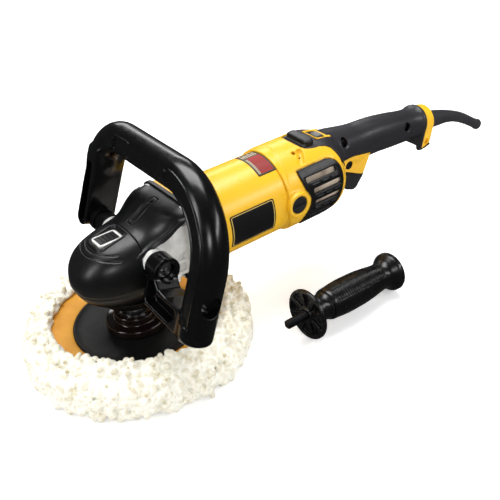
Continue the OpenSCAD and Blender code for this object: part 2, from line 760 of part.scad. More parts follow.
module trigger_web() color("gold") difference() {
    union() {
        web_form(0);
        bar(272, 291, 0, 11, axis_z - 28, axis_z - 5);
    }
    difference() {
        bar(269, 318, 0, 19.8, axis_z - 40, axis_z - 6);
        bar(272, 291, 0, 11, axis_z - 28, axis_z - 5);
    }
    rod_y(trigger_pin[0], axis_z + trigger_pin[1], -20, 20, 1.5);
    rod_y(274, axis_z - 1, 8.5, 30, 5.05);
}

module trigger() color("black") difference() {
    translate([0, trigger_half_w, axis_z]) rotate([90, 0, 0])
        linear_extrude(height = 2 * trigger_half_w) polygon(concat(
            [[276, -12], [308, -27], [306, -31]], arc(292, -34, 9, -20, -100, 6),
            arc(285, -33, 7, -110, -170, 5)));
    bar(270, 304, 0, 12, axis_z - 38, axis_z);
    rod_y(trigger_pin[0], axis_z + trigger_pin[1], -20, 20, 1.55);
}

module trigger_pin() color("silver")
    rod_y(trigger_pin[0], axis_z + trigger_pin[1], -9.4, 9.4, 1.5);

module trigger_spring() color("gray") translate([298, 0, axis_z - 38])
    coil(32, 3.2, 0.45, 6);

module lock_on_button() color("dimgray") rod_y(274, axis_z - 1, 12, 18.5, 5);

module switch_module() color("dimgray") bar(278, 304, 0, 22, axis_z + 12, axis_z + 26);

module speed_dial() color("silver") difference() {
    rod_y(dial_x, axis_z + dial_z, -5.5, 5.5, dial_r);
    rod_y(dial_x, axis_z + dial_z, -8, 8, 1.55);
    for (i = [0 : 17]) translate([dial_x, 0, axis_z + dial_z]) rotate([0, i * 20, 0])
        translate([dial_r - 0.5, -8, -0.5]) cube([2, 16, 1]);
}

module dial_bezel() color("gold") {
    difference() {
        bar(238, 256, 0, 19.8, axis_z + 37, axis_z + 41.5);
        bar(241, 251, 0, 12.5, axis_z + 30, axis_z + 50);
        rod_y(dial_x, axis_z + dial_z, -6, 6, dial_r + 0.4);
    }
    rod_y(dial_x, axis_z + dial_z, -9.9, 9.9, 1.5);
    both_sides() bar(dial_x - 3, dial_x + 3, -8, 3.8, axis_z + dial_z - 4, axis_z + 38);
}

module top_bumper() color([0.15, 0.15, 0.15]) difference() {
    union() {
        for (x = [bumper_x - 4, bumper_x + 4]) rod_y(x, axis_z + 45.2, -17.5, 19.5, 2);
        bar(bumper_x - 4, bumper_x + 4, -1, 37, axis_z + 41, axis_z + 47.2);
        bar(bumper_x - 6, bumper_x + 6, -1, 37, axis_z + 40, axis_z + 45.2);
    }
    rear_form(2.5);
}

// ---- rear end ----

module lobe() polygon([[0, -ring_r + 1], [lobe_drop - 4, -18.5], [lobe_drop - 0.5, -17],
    [lobe_drop - 0.5, -14.5], [lobe_drop - 5, -13.5], [lobe_drop - 5, 13.5],
    [lobe_drop - 0.5, 14.5], [lobe_drop - 0.5, 17], [lobe_drop - 4, 18.5], [0, ring_r - 1]]);

// A ring that narrows to the rear, standing on two short feet
module end_ring() color("gold") difference() {
    union() {
        in_tail(0) cylinder(h = ring_len, r1 = ring_r, r2 = ring_r_back);
        in_tail(0) linear_extrude(height = ring_len - 1) lobe();
    }
    in_tail(-1) cylinder(h = 30, r = 15);
    in_tail(ring_len / 2) translate([lobe_drop - 9.5, 0, 0]) rotate([90, 0, 0])
        cylinder(h = 60, r = 2.4, center = true);
}

module strain_relief() color([0.18, 0.18, 0.18]) difference() {
    union() {
        for (i = [0 : len(RELIEF) - 2]) hull() {
            relief_slice(RELIEF[i], 0);
            relief_slice(RELIEF[i + 1], 0);
        }
        in_tail(-4) cylinder(h = ring_len + 3, r = 14.6, $fn = coarse);
    }
    for (i = [0 : len(RELIEF) - 2]) hull() {
        relief_slice(RELIEF[i], 3.4);
        relief_slice(RELIEF[i + 1], 3.4);
    }
}

module relief_slice(p, inset) translate([p[0], 0, axis_z + p[1]])
    rotate([0, 90 + max(0, (p[0] - 415) * 0.33), 0])
        cylinder(h = 0.2, r = p[2] - inset, $fn = 20);

// ---- loose side handle ----

// Lays the handle's own axis down on the floor, resting on flange and knob
module lying() {
    dip = asin((grip_flange_r - grip_knob_r) / (grip_len - 5));
    translate([grip_x, grip_y, 0]) rotate([0, 0, grip_turn]) translate([0, 0, grip_flange_r])
        rotate([0, 90 + dip, 0]) children();
}

module side_handle_grip() color([0.1, 0.1, 0.1]) lying() difference() {
    union() {
        rotate_extrude() polygon(concat([[0, 4], [14, 4], [14.3, 10], [15, 24], [16.4, 26]],
            [for (i = [0 : 9]) [16.4 + 1.6 * sin(i * 20), 26 + i * 6.6]],
            [[15.2, 95], [14.6, grip_len - 24], [15.4, grip_len - 18], [18, grip_len - 11],
             [grip_knob_r - 0.6, grip_len - 7], [grip_knob_r, grip_len - 5],
             [grip_knob_r - 0.8, grip_len - 3], [16, grip_len], [0, grip_len]]));
    }
    translate([0, 0, 3]) cylinder(h = 22, r = 5);
    for (i = [0 : 13]) translate([0, 0, 32 + i * 4]) difference() {
        cylinder(h = 1.2, r = 20);
        translate([0, 0, -1]) cylinder(h = 4, r = 17.3);
    }
}

module side_handle_flange() color([0.12, 0.12, 0.12]) lying() difference() {
    cylinder(h = 4, r = grip_flange_r);
    translate([0, 0, -1]) cylinder(h = 8, r = 5);
    for (i = [0 : 7]) rotate([0, 0, i * 45]) translate([0, 0, -1]) linear_extrude(height = 3.6)
        polygon([[9.5, -1], [20, -6], [21.2, 0], [20, 6], [9.5, 1]]);
}

module side_handle_stud() color("dimgray") lying() {
    translate([0, 0, -stud_len]) cylinder(h = stud_len, r = 4);
    cylinder(h = 25, r = 5);
}

wool_pad();
backing_disc();
backing_plate();
backing_hub();
spindle();
ring_gear();
spindle_bearing_inner();
spindle_bearing_outer();
spindle_top_bush();
bearing_plate();
bearing_plate_screws();
gear_case();
gear_case_screws();
head_cover();
spindle_lock_button();
spindle_lock_pin();
spindle_lock_spring();
bail_handle();
bail_bolts();
bail_washers();
motor_housing();
rear_housing();
stator_core();
field_windings();
armature_shaft();
armature_core();
armature_windings();
commutator();
pinion();
cooling_fan();
motor_bearing_inners();
front_bearing_outer();
rear_bearing_outer();
brush_holders();
carbon_brushes();
brush_springs();
brush_caps();
vent_cover_left();
vent_cover_right();
vent_meshes();
name_plates();
rating_label();
handle_shell_left();
handle_shell_right();
handle_screws();
trigger_web();
trigger();
trigger_pin();
trigger_spring();
lock_on_button();
switch_module();
speed_dial();
dial_bezel();
top_bumper();
end_ring();
strain_relief();
side_handle_grip();
side_handle_flange();
side_handle_stud();
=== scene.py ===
import math

import bmesh
import bpy
import numpy as np
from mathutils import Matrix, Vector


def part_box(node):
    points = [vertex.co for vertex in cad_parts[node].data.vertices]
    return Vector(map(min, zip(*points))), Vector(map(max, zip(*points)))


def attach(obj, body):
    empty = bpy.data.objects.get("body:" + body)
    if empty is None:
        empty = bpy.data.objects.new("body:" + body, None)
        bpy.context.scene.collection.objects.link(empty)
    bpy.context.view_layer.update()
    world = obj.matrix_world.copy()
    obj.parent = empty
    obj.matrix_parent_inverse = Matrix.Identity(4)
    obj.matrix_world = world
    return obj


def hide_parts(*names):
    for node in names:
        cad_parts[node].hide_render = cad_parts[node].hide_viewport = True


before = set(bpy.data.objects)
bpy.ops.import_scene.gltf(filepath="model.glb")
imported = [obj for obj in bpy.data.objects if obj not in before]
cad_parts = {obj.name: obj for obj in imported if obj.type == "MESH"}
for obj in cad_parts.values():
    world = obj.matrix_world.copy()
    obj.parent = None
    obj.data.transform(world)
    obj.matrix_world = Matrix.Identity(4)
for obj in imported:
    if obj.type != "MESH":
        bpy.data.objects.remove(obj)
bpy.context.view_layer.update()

import openvdb
from mathutils import Matrix, Vector

MM = 0.001


def mm_box(node):
    """Lowest and highest corner of a CAD node, in millimetres."""
    lo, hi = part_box(node)
    return np.array(lo) / MM, np.array(hi) / MM


# ---- sizes, in millimetres
AXIS = float(sum(mm_box("armature_shaft")[i][2] for i in (0, 1)) / 2)
PAD_R = float(mm_box("wool_pad")[1][0])
DISC_R = float(mm_box("backing_disc")[1][0])
PLATE_R = float(mm_box("backing_plate")[1][0])
MOTOR_R = float(mm_box("motor_housing")[1][2] - AXIS)
REAR_X = float(mm_box("rear_housing")[0][0]) + 4
REAR_END = float(mm_box("rear_housing")[1][0])
REAR_R = 47.0
# Millimetres round the rear housing for each degree
UNIT = math.radians(1) * REAR_R
SHOULDER_R = 27.0
SHOULDER_X = REAR_END - SHOULDER_R
BRUSH_X = 180.0
BOLT = (10.0, 120.0)
BAIL_LEAN = math.radians(20)
BAIL_R = 16.5
# Flange screws, sideways and up from the motor axis
LUG = 31.5


# ---- camera, stage, lights
def look_matrix(azimuth, elevation, roll, target, distance):
    a, e = math.radians(azimuth), math.radians(elevation)
    back = Vector((math.sin(a) * math.cos(e), -math.cos(a) * math.cos(e), math.sin(e)))
    right = Vector((math.cos(a), math.sin(a), 0))
    turn = Matrix.Rotation(math.radians(roll), 3, back)
    right, up = turn @ right, turn @ back.cross(right)
    m = Matrix((right, up, back)).transposed().to_4x4()
    m.translation = Vector(target) + back * distance
    return m


camera_data = bpy.data.cameras.new("camera")
camera_data.lens = 59.45
camera_data.sensor_width = 36
camera = bpy.data.objects.new("camera", camera_data)
bpy.context.scene.collection.objects.link(camera)
camera.matrix_world = look_matrix(-34.88, 34.20, -4.46, (0.1418, -0.00755, 0.05606), 0.89294)
bpy.context.scene.camera = camera
bpy.context.scene.view_settings.view_transform = "Standard"


def area_light(name, spot, aim, size, watts):
    data = bpy.data.lights.new(name, "AREA")
    data.shape, data.energy = "RECTANGLE", watts
    data.size, data.size_y = size
    light = bpy.data.objects.new(name, data)
    bpy.context.scene.collection.objects.link(light)
    light.location = spot
    light.rotation_euler = (Vector(aim) - Vector(spot)).to_track_quat("-Z", "Y").to_euler()


area_light("top", (0.35, 0.35, 1.5), (0.15, 0, 0.05), (1.3, 0.8), 24)
area_light("left", (-1.25, 0.1, 0.95), (0.0, 0, 0.12), (0.3, 1.1), 8)
area_light("front", (-0.75, -1.35, 1.15), (0.05, 0, 0.1), (0.5, 0.3), 5)
area_light("right", (1.0, -1.15, 0.9), (0.1, 0, 0.1), (1.1, 0.2), 7)
area_light("back", (0.9, 1.4, 0.9), (0.1, 0, 0.1), (1.2, 0.3), 6)

# The camera sees white; mirror-like rays see little, so blacks stay black
world = bpy.data.worlds.new("world")
bpy.context.scene.world = world
world.use_nodes = True
wn = world.node_tree.nodes
wn["Background"].inputs["Color"].default_value = (1, 1, 1, 1)
seen = wn.new("ShaderNodeLightPath")
level = wn.new("ShaderNodeMapRange")
level.inputs["To Min"].default_value = 0.50
level.inputs["To Max"].default_value = 0.06
world.node_tree.links.new(seen.outputs["Is Glossy Ray"], level.inputs["Value"])
straight = wn.new("ShaderNodeMapRange")
straight.inputs["To Max"].default_value = 1.0
world.node_tree.links.new(seen.outputs["Is Camera Ray"], straight.inputs["Value"])
world.node_tree.links.new(level.outputs["Result"], straight.inputs["To Min"])
world.node_tree.links.new(straight.outputs["Result"], wn["Background"].inputs["Strength"])


# ---- mesh helpers
def new_object(name, verts, faces, smooth=True):
    """A mesh object from vertices in millimetres in the row frame."""
    mesh = bpy.data.meshes.new(name)
    mesh.from_pydata((np.asarray(verts, float) * MM).tolist(), [], faces)
    mesh.validate()
    if smooth:
        mesh.shade_smooth()
    obj = bpy.data.objects.new(name, mesh)
    bpy.context.scene.collection.objects.link(obj)
    return obj


def smin(a, b, k):
    """Smooth union of two distance fields; k is the blend's width."""
    h = np.clip(0.5 + 0.5 * (b - a) / k, 0, 1)
    return b + (a - b) * h - k * h * (1 - h)


def smax(a, b, k):
    return -smin(-a, -b, k)


# What two fields share, and what either holds, with a sharp edge
meet, join = np.maximum, np.minimum


def cut(a, b, k=0.6):
    """a without b, its new edge rounded by k."""
    return smax(a, -b, k)


def rod(p, a, b, r):
    """Distance to a flat-ended cylinder from a to b."""
    a, b = np.array(a, float), np.array(b, float)
    axis = b - a
    length = np.linalg.norm(axis)
    axis /= length
    rel = [p[i] - a[i] for i in range(3)]
    t = sum(rel[i] * axis[i] for i in range(3))
    d2 = sum((rel[i] - t * axis[i]) ** 2 for i in range(3))
    return np.maximum(np.sqrt(d2) - r, np.abs(t - length / 2) - length / 2)


def rod_y(p, x, z, y0, y1, r):
    """Distance to a rod along Y."""
    return rod(p, (x, y0, z), (x, y1, z), r)


def from_y(p, x, z):
    """Distance from a line along Y."""
    return np.hypot(p[0] - x, p[2] - z)


def mirrored(p):
    """p with the left side folded onto the right one."""
    return p[0], np.abs(p[1]), p[2]


def corners(p):
    """p with its four quarters about the motor axis folded onto one."""
    return p[0], np.abs(p[1]), AXIS + np.abs(p[2] - AXIS)


def pill(p, a, b, r):
    """Distance to a round-ended rod from a to b."""
    a, b = np.array(a, float), np.array(b, float)
    axis = b - a
    rel = [p[i] - a[i] for i in range(3)]
    t = np.clip(sum(rel[i] * axis[i] for i in range(3)) / (axis @ axis), 0, 1)
    return np.sqrt(sum((rel[i] - t * axis[i]) ** 2 for i in range(3))) - r


def rect(x, y, half_x, half_y, r=0.0):
    """Distance to a rectangle about the origin with corners of radius r."""
    qx, qy = np.abs(x) - half_x + r, np.abs(y) - half_y + r
    return np.hypot(np.maximum(qx, 0), np.maximum(qy, 0)) + np.minimum(np.maximum(qx, qy), 0) - r


def block(p, lo, hi, r=1.0):
    """Distance to a box from lo to hi with edges of radius r."""
    q = [np.abs(p[i] - (lo[i] + hi[i]) / 2) - (hi[i] - lo[i]) / 2 + r for i in range(3)]
    out = np.sqrt(sum(np.maximum(v, 0) ** 2 for v in q))
    return out + np.minimum(np.maximum(q[0], np.maximum(q[1], q[2])), 0) - r


def slab(a, lo, hi):
    """Distance to lo <= a <= hi."""
    return np.abs(a - (lo + hi) / 2) - (hi - lo) / 2


def extrude(flat, thickness, r=0.8):
    """A flat field given a thickness field, with edges of radius r."""
    a, b = flat + r, thickness + r
    return np.hypot(np.maximum(a, 0), np.maximum(b, 0)) + np.minimum(np.maximum(a, b), 0) - r


def sheet(flat, a, lo, hi, r):
    """A flat field made solid over lo <= a <= hi, with edges of radius r."""
    return extrude(flat, slab(a, lo, hi), r)


def outline(x, y, points):
    """Distance to a closed polygon."""
    pts = np.array(points, float)
    best = np.full(np.broadcast(x, y).shape, 1e9)
    inside = np.zeros(best.shape, bool)
    for (ax, ay), (bx, by) in zip(pts, np.roll(pts, -1, 0)):
        ex, ey = bx - ax, by - ay
        wx, wy = x - ax, y - ay
        t = np.clip((wx * ex + wy * ey) / (ex * ex + ey * ey), 0, 1)
        best = np.minimum(best, (wx - ex * t) ** 2 + (wy - ey * t) ** 2)
        inside ^= ((ay <= y) != (by <= y)) & (ex * (y - ay) / (ey if ey else 1e-9) + ax > x)
    return np.where(inside, -1, 1) * np.sqrt(best)


def curve(xs, ys):
    """A smooth function through the points (xs, ys), level at flat ends."""
    xs, ys = np.array(xs, float), np.array(ys, float)
    slopes = np.gradient(ys, xs)
    fine = np.linspace(xs[0], xs[-1], 400)
    k = np.clip(np.searchsorted(xs, fine) - 1, 0, len(xs) - 2)
    h = xs[k + 1] - xs[k]
    t = (fine - xs[k]) / h
    vals = ((2 * t**3 - 3 * t**2 + 1) * ys[k] + (t**3 - 2 * t**2 + t) * h * slopes[k]
            + (3 * t**2 - 2 * t**3) * ys[k + 1] + (t**3 - t**2) * h * slopes[k + 1])
    return lambda x: np.interp(x, fine, vals)


BLOCK = 8


def sculpt(name, field, lo, hi, step):
    """Meshes the surface field(p) = 0 between corners lo and hi, in mm, on a grid of that step."""
    lo, hi = np.array(lo, float) - 2 * step, np.array(hi, float) + 2 * step
    size = np.ceil((hi - lo) / step / BLOCK).astype(int)
    half = (BLOCK - 1) / 2 * step
    centres = [lo[i] + half + np.arange(size[i]) * BLOCK * step for i in range(3)]
    coarse = field(np.meshgrid(*centres, indexing="ij"))
    near = np.abs(coarse) < BLOCK * step * 1.5
    full = (np.sign(coarse) * 3 * step).astype(np.float32)
    for i in range(3):
        full = np.repeat(full, BLOCK, i)
    cells = np.argwhere(near)
    offsets = np.stack(np.meshgrid(*[np.arange(BLOCK)] * 3, indexing="ij"), -1).reshape(-1, 3)
    for chunk in np.array_split(cells, max(1, len(cells) // 1500)):
        index = (chunk[:, None] * BLOCK + offsets[None]).reshape(-1, 3)
        points = lo + index * step
        full[tuple(index.T)] = np.clip(field(points.T), -3 * step, 3 * step)
    grid = openvdb.FloatGrid(3 * step)
    grid.copyFromArray(full)
    points, tris, quads = grid.convertToPolygons(adaptivity=0.0)
    points = lo + points * step
    for _ in range(2):
        base = field(points.T)
        eps = 0.05
        grad = np.stack([(field((points + d).T) - field((points - d).T)) / (2 * eps)
                         for d in np.eye(3) * eps], 1)
        pull = -grad * (base / np.maximum((grad**2).sum(1), 0.2))[:, None]
        length = np.linalg.norm(pull, axis=1, keepdims=True)
        points = points + pull * np.minimum(1, 0.4 * step / np.maximum(length, 1e-9))
    faces = [f[::-1] for f in quads.tolist()] + [f[::-1] for f in tris.tolist()]
    return new_object(name, points, faces)


def clean(obj, dissolve=False):
    """Merges doubled points and turns every face outwards."""
    bm = bmesh.new()
    bm.from_mesh(obj.data)
    bmesh.ops.remove_doubles(bm, verts=bm.verts, dist=1e-7)
    if dissolve:
        bmesh.ops.dissolve_degenerate(bm, edges=bm.edges, dist=1e-7)
    bmesh.ops.recalc_face_normals(bm, faces=bm.faces)
    bm.to_mesh(obj.data)
    bm.free()
    return obj


def lathe(name, profile, steps=96):
    """A closed ring about Z: profile is (radius, height) in mm."""
    angles = np.linspace(0, 2 * np.pi, steps, endpoint=False)
    verts = [(r * math.cos(a), r * math.sin(a), h) for r, h in profile for a in angles]
    n, faces = len(profile), []
    for i in range(n):
        for j in range(steps):
            k, m = (i + 1) % n, (j + 1) % steps
            faces.append((i * steps + j, i * steps + m, k * steps + m, k * steps + j))
    obj = clean(new_object(name, verts, faces))
    obj.data.shade_smooth()
    return obj


def sharpen(obj, degrees=35):
    obj.data.set_sharp_from_angle(angle=math.radians(degrees))
    return obj


def place(obj, body, material, slot, *nodes):
    """Gives a piece its material and body, and hides the CAD nodes it stands for; slot is not
    used.
    """
    obj.data.materials.clear()
    obj.data.materials.append(material)
    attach(obj, body)
    if nodes:
        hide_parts(*nodes)
    return obj


def form(name, field, lo, hi, step, body, look, slot, *nodes):
    """Sculpts a piece and places it."""
    place(sculpt(name, field, lo, hi, step), body, MAT[look], slot, *nodes)


# ---- materials
def srgb(r, g, b):
    def lin(v):
        v /= 255
        return v / 12.92 if v <= 0.04045 else ((v + 0.055) / 1.055) ** 2.4
    return (lin(r), lin(g), lin(b), 1)


class Shader:
    """A material under construction: a Principled shader and the nodes that feed it."""

    def __init__(self, name, **sockets):
        self.material = bpy.data.materials.new(name)
        self.material.use_nodes = True
        self.tree = self.material.node_tree
        self.shader = self.tree.nodes["Principled BSDF"]
        for key, value in sockets.items():
            self.shader.inputs[key.replace("_", " ")].default_value = value
        self.height = None
        self.coords = self.node("ShaderNodeTexCoord").outputs["Object"]

    def plug(self, socket, value):
        """Links an output to the socket, or sets the socket's value."""
        if isinstance(value, bpy.types.NodeSocket):
            self.tree.links.new(value, socket)
        else:
            socket.default_value = value

    def node(self, kind, **inputs):
        n = self.tree.nodes.new(kind)
        for key, value in inputs.items():
            self.plug(n.inputs[key], value)
        return n

    def noise(self, scale, detail=3.0):
        n = self.node("ShaderNodeTexNoise", Vector=self.coords, Scale=scale, Detail=detail,
                      Roughness=0.55)
        return n.outputs["Fac"]

    def ramp(self, value, lo, hi, out_lo, out_hi):
        n = self.node("ShaderNodeMapRange", Value=value)
        for key, v in zip(("From Min", "From Max", "To Min", "To Max"), (lo, hi, out_lo, out_hi)):
            n.inputs[key].default_value = v
        return n.outputs["Result"]

    def math(self, operation, a, b):
        n = self.tree.nodes.new("ShaderNodeMath")
        n.operation = operation
        self.plug(n.inputs[0], a)
        self.plug(n.inputs[1], b)
        return n.outputs[0]

    def mix(self, fac, a, b):
        n = self.tree.nodes.new("ShaderNodeMix")
        n.data_type = "RGBA"
        for index, value in ((0, fac), (6, a), (7, b)):
            self.plug(n.inputs[index], value)
        return n.outputs[2]

    def feed(self, name, value):
        self.tree.links.new(value, self.shader.inputs[name])

    def bump(self, height, distance, strength=1.0):
        """Adds a bump of that height in metres on top of the ones before it."""
        n = self.node("ShaderNodeBump", Height=height, Distance=distance, Strength=strength)
        if self.height:
            self.tree.links.new(self.height, n.inputs["Normal"])
        self.height = n.outputs["Normal"]
        self.feed("Normal", self.height)

    def edges(self):
        """0 in hollows, about 0.5 on the flat, 1 on sharp edges."""
        return self.node("ShaderNodeNewGeometry").outputs["Pointiness"]


def moulded(name, colour, rough, grain=900, depth=4e-5, variation=0.08, edge=None, **sockets):
    """Moulded plastic: fine texture, a little unevenness, and a painted highlight on sharp edges
    when an edge colour is given.
    """
    s = Shader(name, Roughness=rough, **sockets)
    light = srgb(*colour)
    deep = tuple(c * (1 - variation) for c in light[:3]) + (1,)
    tint = s.mix(s.ramp(s.noise(35, 2), 0.3, 0.7, 0, 1), deep, light)
    # Painted highlight: sharp edges take the lighter edge colour, as if light caught them.
    if edge:
        tint = s.mix(s.ramp(s.edges(), 0.53, 0.62, 0, 0.8), tint, srgb(*edge))
    s.feed("Base Color", tint)
    s.feed("Roughness", s.ramp(s.noise(120, 3), 0.3, 0.7, rough - 0.04, rough + 0.05))
    s.bump(s.noise(grain, 2), depth)
    return s.material


def metal(name, colour, rough, scale=300, depth=3e-5, metallic=1.0):
    """Plain or cast metal with a fine grain and slightly uneven polish."""
    s = Shader(name, Metallic=metallic, Roughness=rough)
    light = srgb(*colour)
    dark = tuple(c * 0.75 for c in light[:3]) + (1,)
    s.feed("Base Color", s.mix(s.ramp(s.noise(60, 4), 0.35, 0.65, 0, 1), dark, light))
    s.feed("Roughness", s.ramp(s.noise(scale / 2, 4), 0.3, 0.7, rough - 0.06, rough + 0.08))
    s.bump(s.noise(scale, 3), depth)
    return s.material


# The last colour given to a plastic is its painted highlight, mixed in on sharp edges.
MAT = {
    "yellow": moulded("yellow_plastic", (238, 184, 36), 0.30, 700, 8e-6, 0.04,
                      (255, 212, 92)),
    "gloss": moulded("gloss_black", (6, 6, 7), 0.22, 700, 4e-6, 0.2, (60, 60, 64)),
    "side_grip": moulded("side_grip_black", (8, 8, 9), 0.27, 700, 4e-6, 0.2,
                         (74, 74, 78)),
    "cover": moulded("cover_black", (12, 12, 14), 0.34, 1300, 1.2e-5, 0.15, (26, 26, 29)),
    "black": moulded("black_plastic", (17, 17, 19), 0.36, 1100, 1.5e-5, 0.15, (42, 42, 46)),
    "handle": moulded("grey_grip", (40, 39, 43), 0.36, 1200, 2e-5, 0.12, (66, 65, 70)),
    "rubber": moulded("black_rubber", (9, 9, 10), 0.55, 800, 2e-5, 0.2, Specular_IOR_Level=0.3),
    "relief": moulded("relief_rubber", (48, 47, 51), 0.45, 900, 3e-5, 0.15),
    "hub": moulded("hub_gloss", (20, 13, 11), 0.10, 300, 4e-6, 0.2),
    "alloy": metal("cast_alloy", (242, 241, 237), 0.45, 520, 7e-5, 0.2),
    "steel": metal("machined_steel", (190, 190, 192), 0.28, 700, 2e-5),
    "dark_steel": metal("blackened_steel", (38, 38, 40), 0.4, 600, 2e-5, 0.9),
    "brass": metal("brass", (205, 165, 85), 0.3, 500),
    "bronze": metal("bronze", (165, 115, 70), 0.45, 900, 6e-5),
    "copper": metal("copper", (185, 100, 55), 0.35, 400, 8e-5),
    "core": metal("stacked_sheet", (120, 122, 126), 0.4, 400, 5e-5),
    "carbon": moulded("carbon", (26, 26, 28), 0.6, 1500, 5e-5, 0.3),
    "dial": moulded("dial_grey", (112, 112, 110), 0.4, 900, 2e-5, 0.1),
}


def foam_material():
    """Amber foam disc: open pores and a slightly blotchy dye."""
    s = Shader("amber_foam", Roughness=0.62, Subsurface_Weight=0.08)
    s.shader.inputs["Subsurface Radius"].default_value = (0.004, 0.002, 0.001)
    s.feed("Base Color", s.mix(s.ramp(s.noise(28, 4), 0.35, 0.65, 0, 1),
                               srgb(204, 138, 24), srgb(222, 158, 42)))
    pores = s.node("ShaderNodeTexVoronoi", Vector=s.coords, Scale=900).outputs["Distance"]
    s.bump(pores, 1.2e-4)
    s.bump(s.noise(160, 3), 2.5e-4)
    return s.material


def wool_material():
    """Lambswool: white locks with painted shade, darker and warmer, deep between them, and fine
    fibres on top.
    """
    s = Shader("lambswool", Roughness=0.95, Subsurface_Weight=0.12, Sheen_Weight=0.1,
               Sheen_Roughness=0.6)
    s.shader.inputs["Subsurface Radius"].default_value = (0.006, 0.0055, 0.0045)
    s.shader.inputs["Subsurface Scale"].default_value = 0.8
    tone = s.mix(s.ramp(s.noise(45, 3), 0.35, 0.65, 0, 1), srgb(243, 240, 226),
                 srgb(249, 248, 238))
    # Painted shade: the hollows between locks take a darker, warmer colour, where shade falls.
    hollow = s.ramp(s.edges(), 0.40, 0.5, 0, 1)
    s.feed("Base Color", s.mix(hollow, srgb(190, 176, 136), tone))
    fibres = s.node("ShaderNodeTexNoise", Vector=s.coords, Scale=1100, Detail=3, Distortion=2.5)
    s.bump(fibres.outputs["Fac"], 1.5e-4)
    s.bump(s.noise(330, 3), 3e-4)
    return s.material


def screen_material():
    """Woven lint screen: crossed wires."""
    s = Shader("lint_screen", Roughness=0.6)
    s.feed("Base Color", s.mix(s.ramp(s.noise(30, 3), 0.4, 0.6, 0, 1),
                               srgb(150, 134, 118), srgb(205, 188, 168)))
    wires = [s.node("ShaderNodeTexWave", Vector=s.coords, Scale=260) for _ in range(2)]
    wires[0].bands_direction, wires[1].bands_direction = "X", "Z"
    s.bump(s.math("MULTIPLY", wires[0].outputs["Fac"], wires[1].outputs["Fac"]), 3e-4)
    return s.material


MAT["foam"], MAT["wool"], MAT["screen"] = foam_material(), wool_material(), screen_material()


# ---- floor
def make_floor():
    floor = new_object("floor", [(-4000, -4000, 0), (4000, -4000, 0), (4000, 4000, 0),
                                 (-4000, 4000, 0)], [(0, 1, 2, 3)])
    s = Shader("floor", Roughness=0.9)
    s.feed("Base Color", s.mix(s.ramp(s.noise(2, 2), 0.3, 0.7, 0, 1), (0.93, 0.93, 0.93, 1),
                               (0.95, 0.95, 0.95, 1)))
    # A little light of its own for the camera only, as on a studio sweep
    seen_by_camera = s.node("ShaderNodeLightPath").outputs["Is Camera Ray"]
    s.shader.inputs["Emission Color"].default_value = (1, 1, 1, 1)
    s.feed("Emission Strength", s.ramp(seen_by_camera, 0, 1, 0, 0.35))
    floor.data.materials.append(s.material)
    floor.visible_glossy = False


make_floor()


# ---- wool pad
# The direction in which the pile is widest
THICK = math.radians(-125)
PILE_TOP = 48.5


def facing(a):
    """1 towards THICK, 0 on the far half."""
    return max(0.0, math.cos(a - THICK)) ** 2


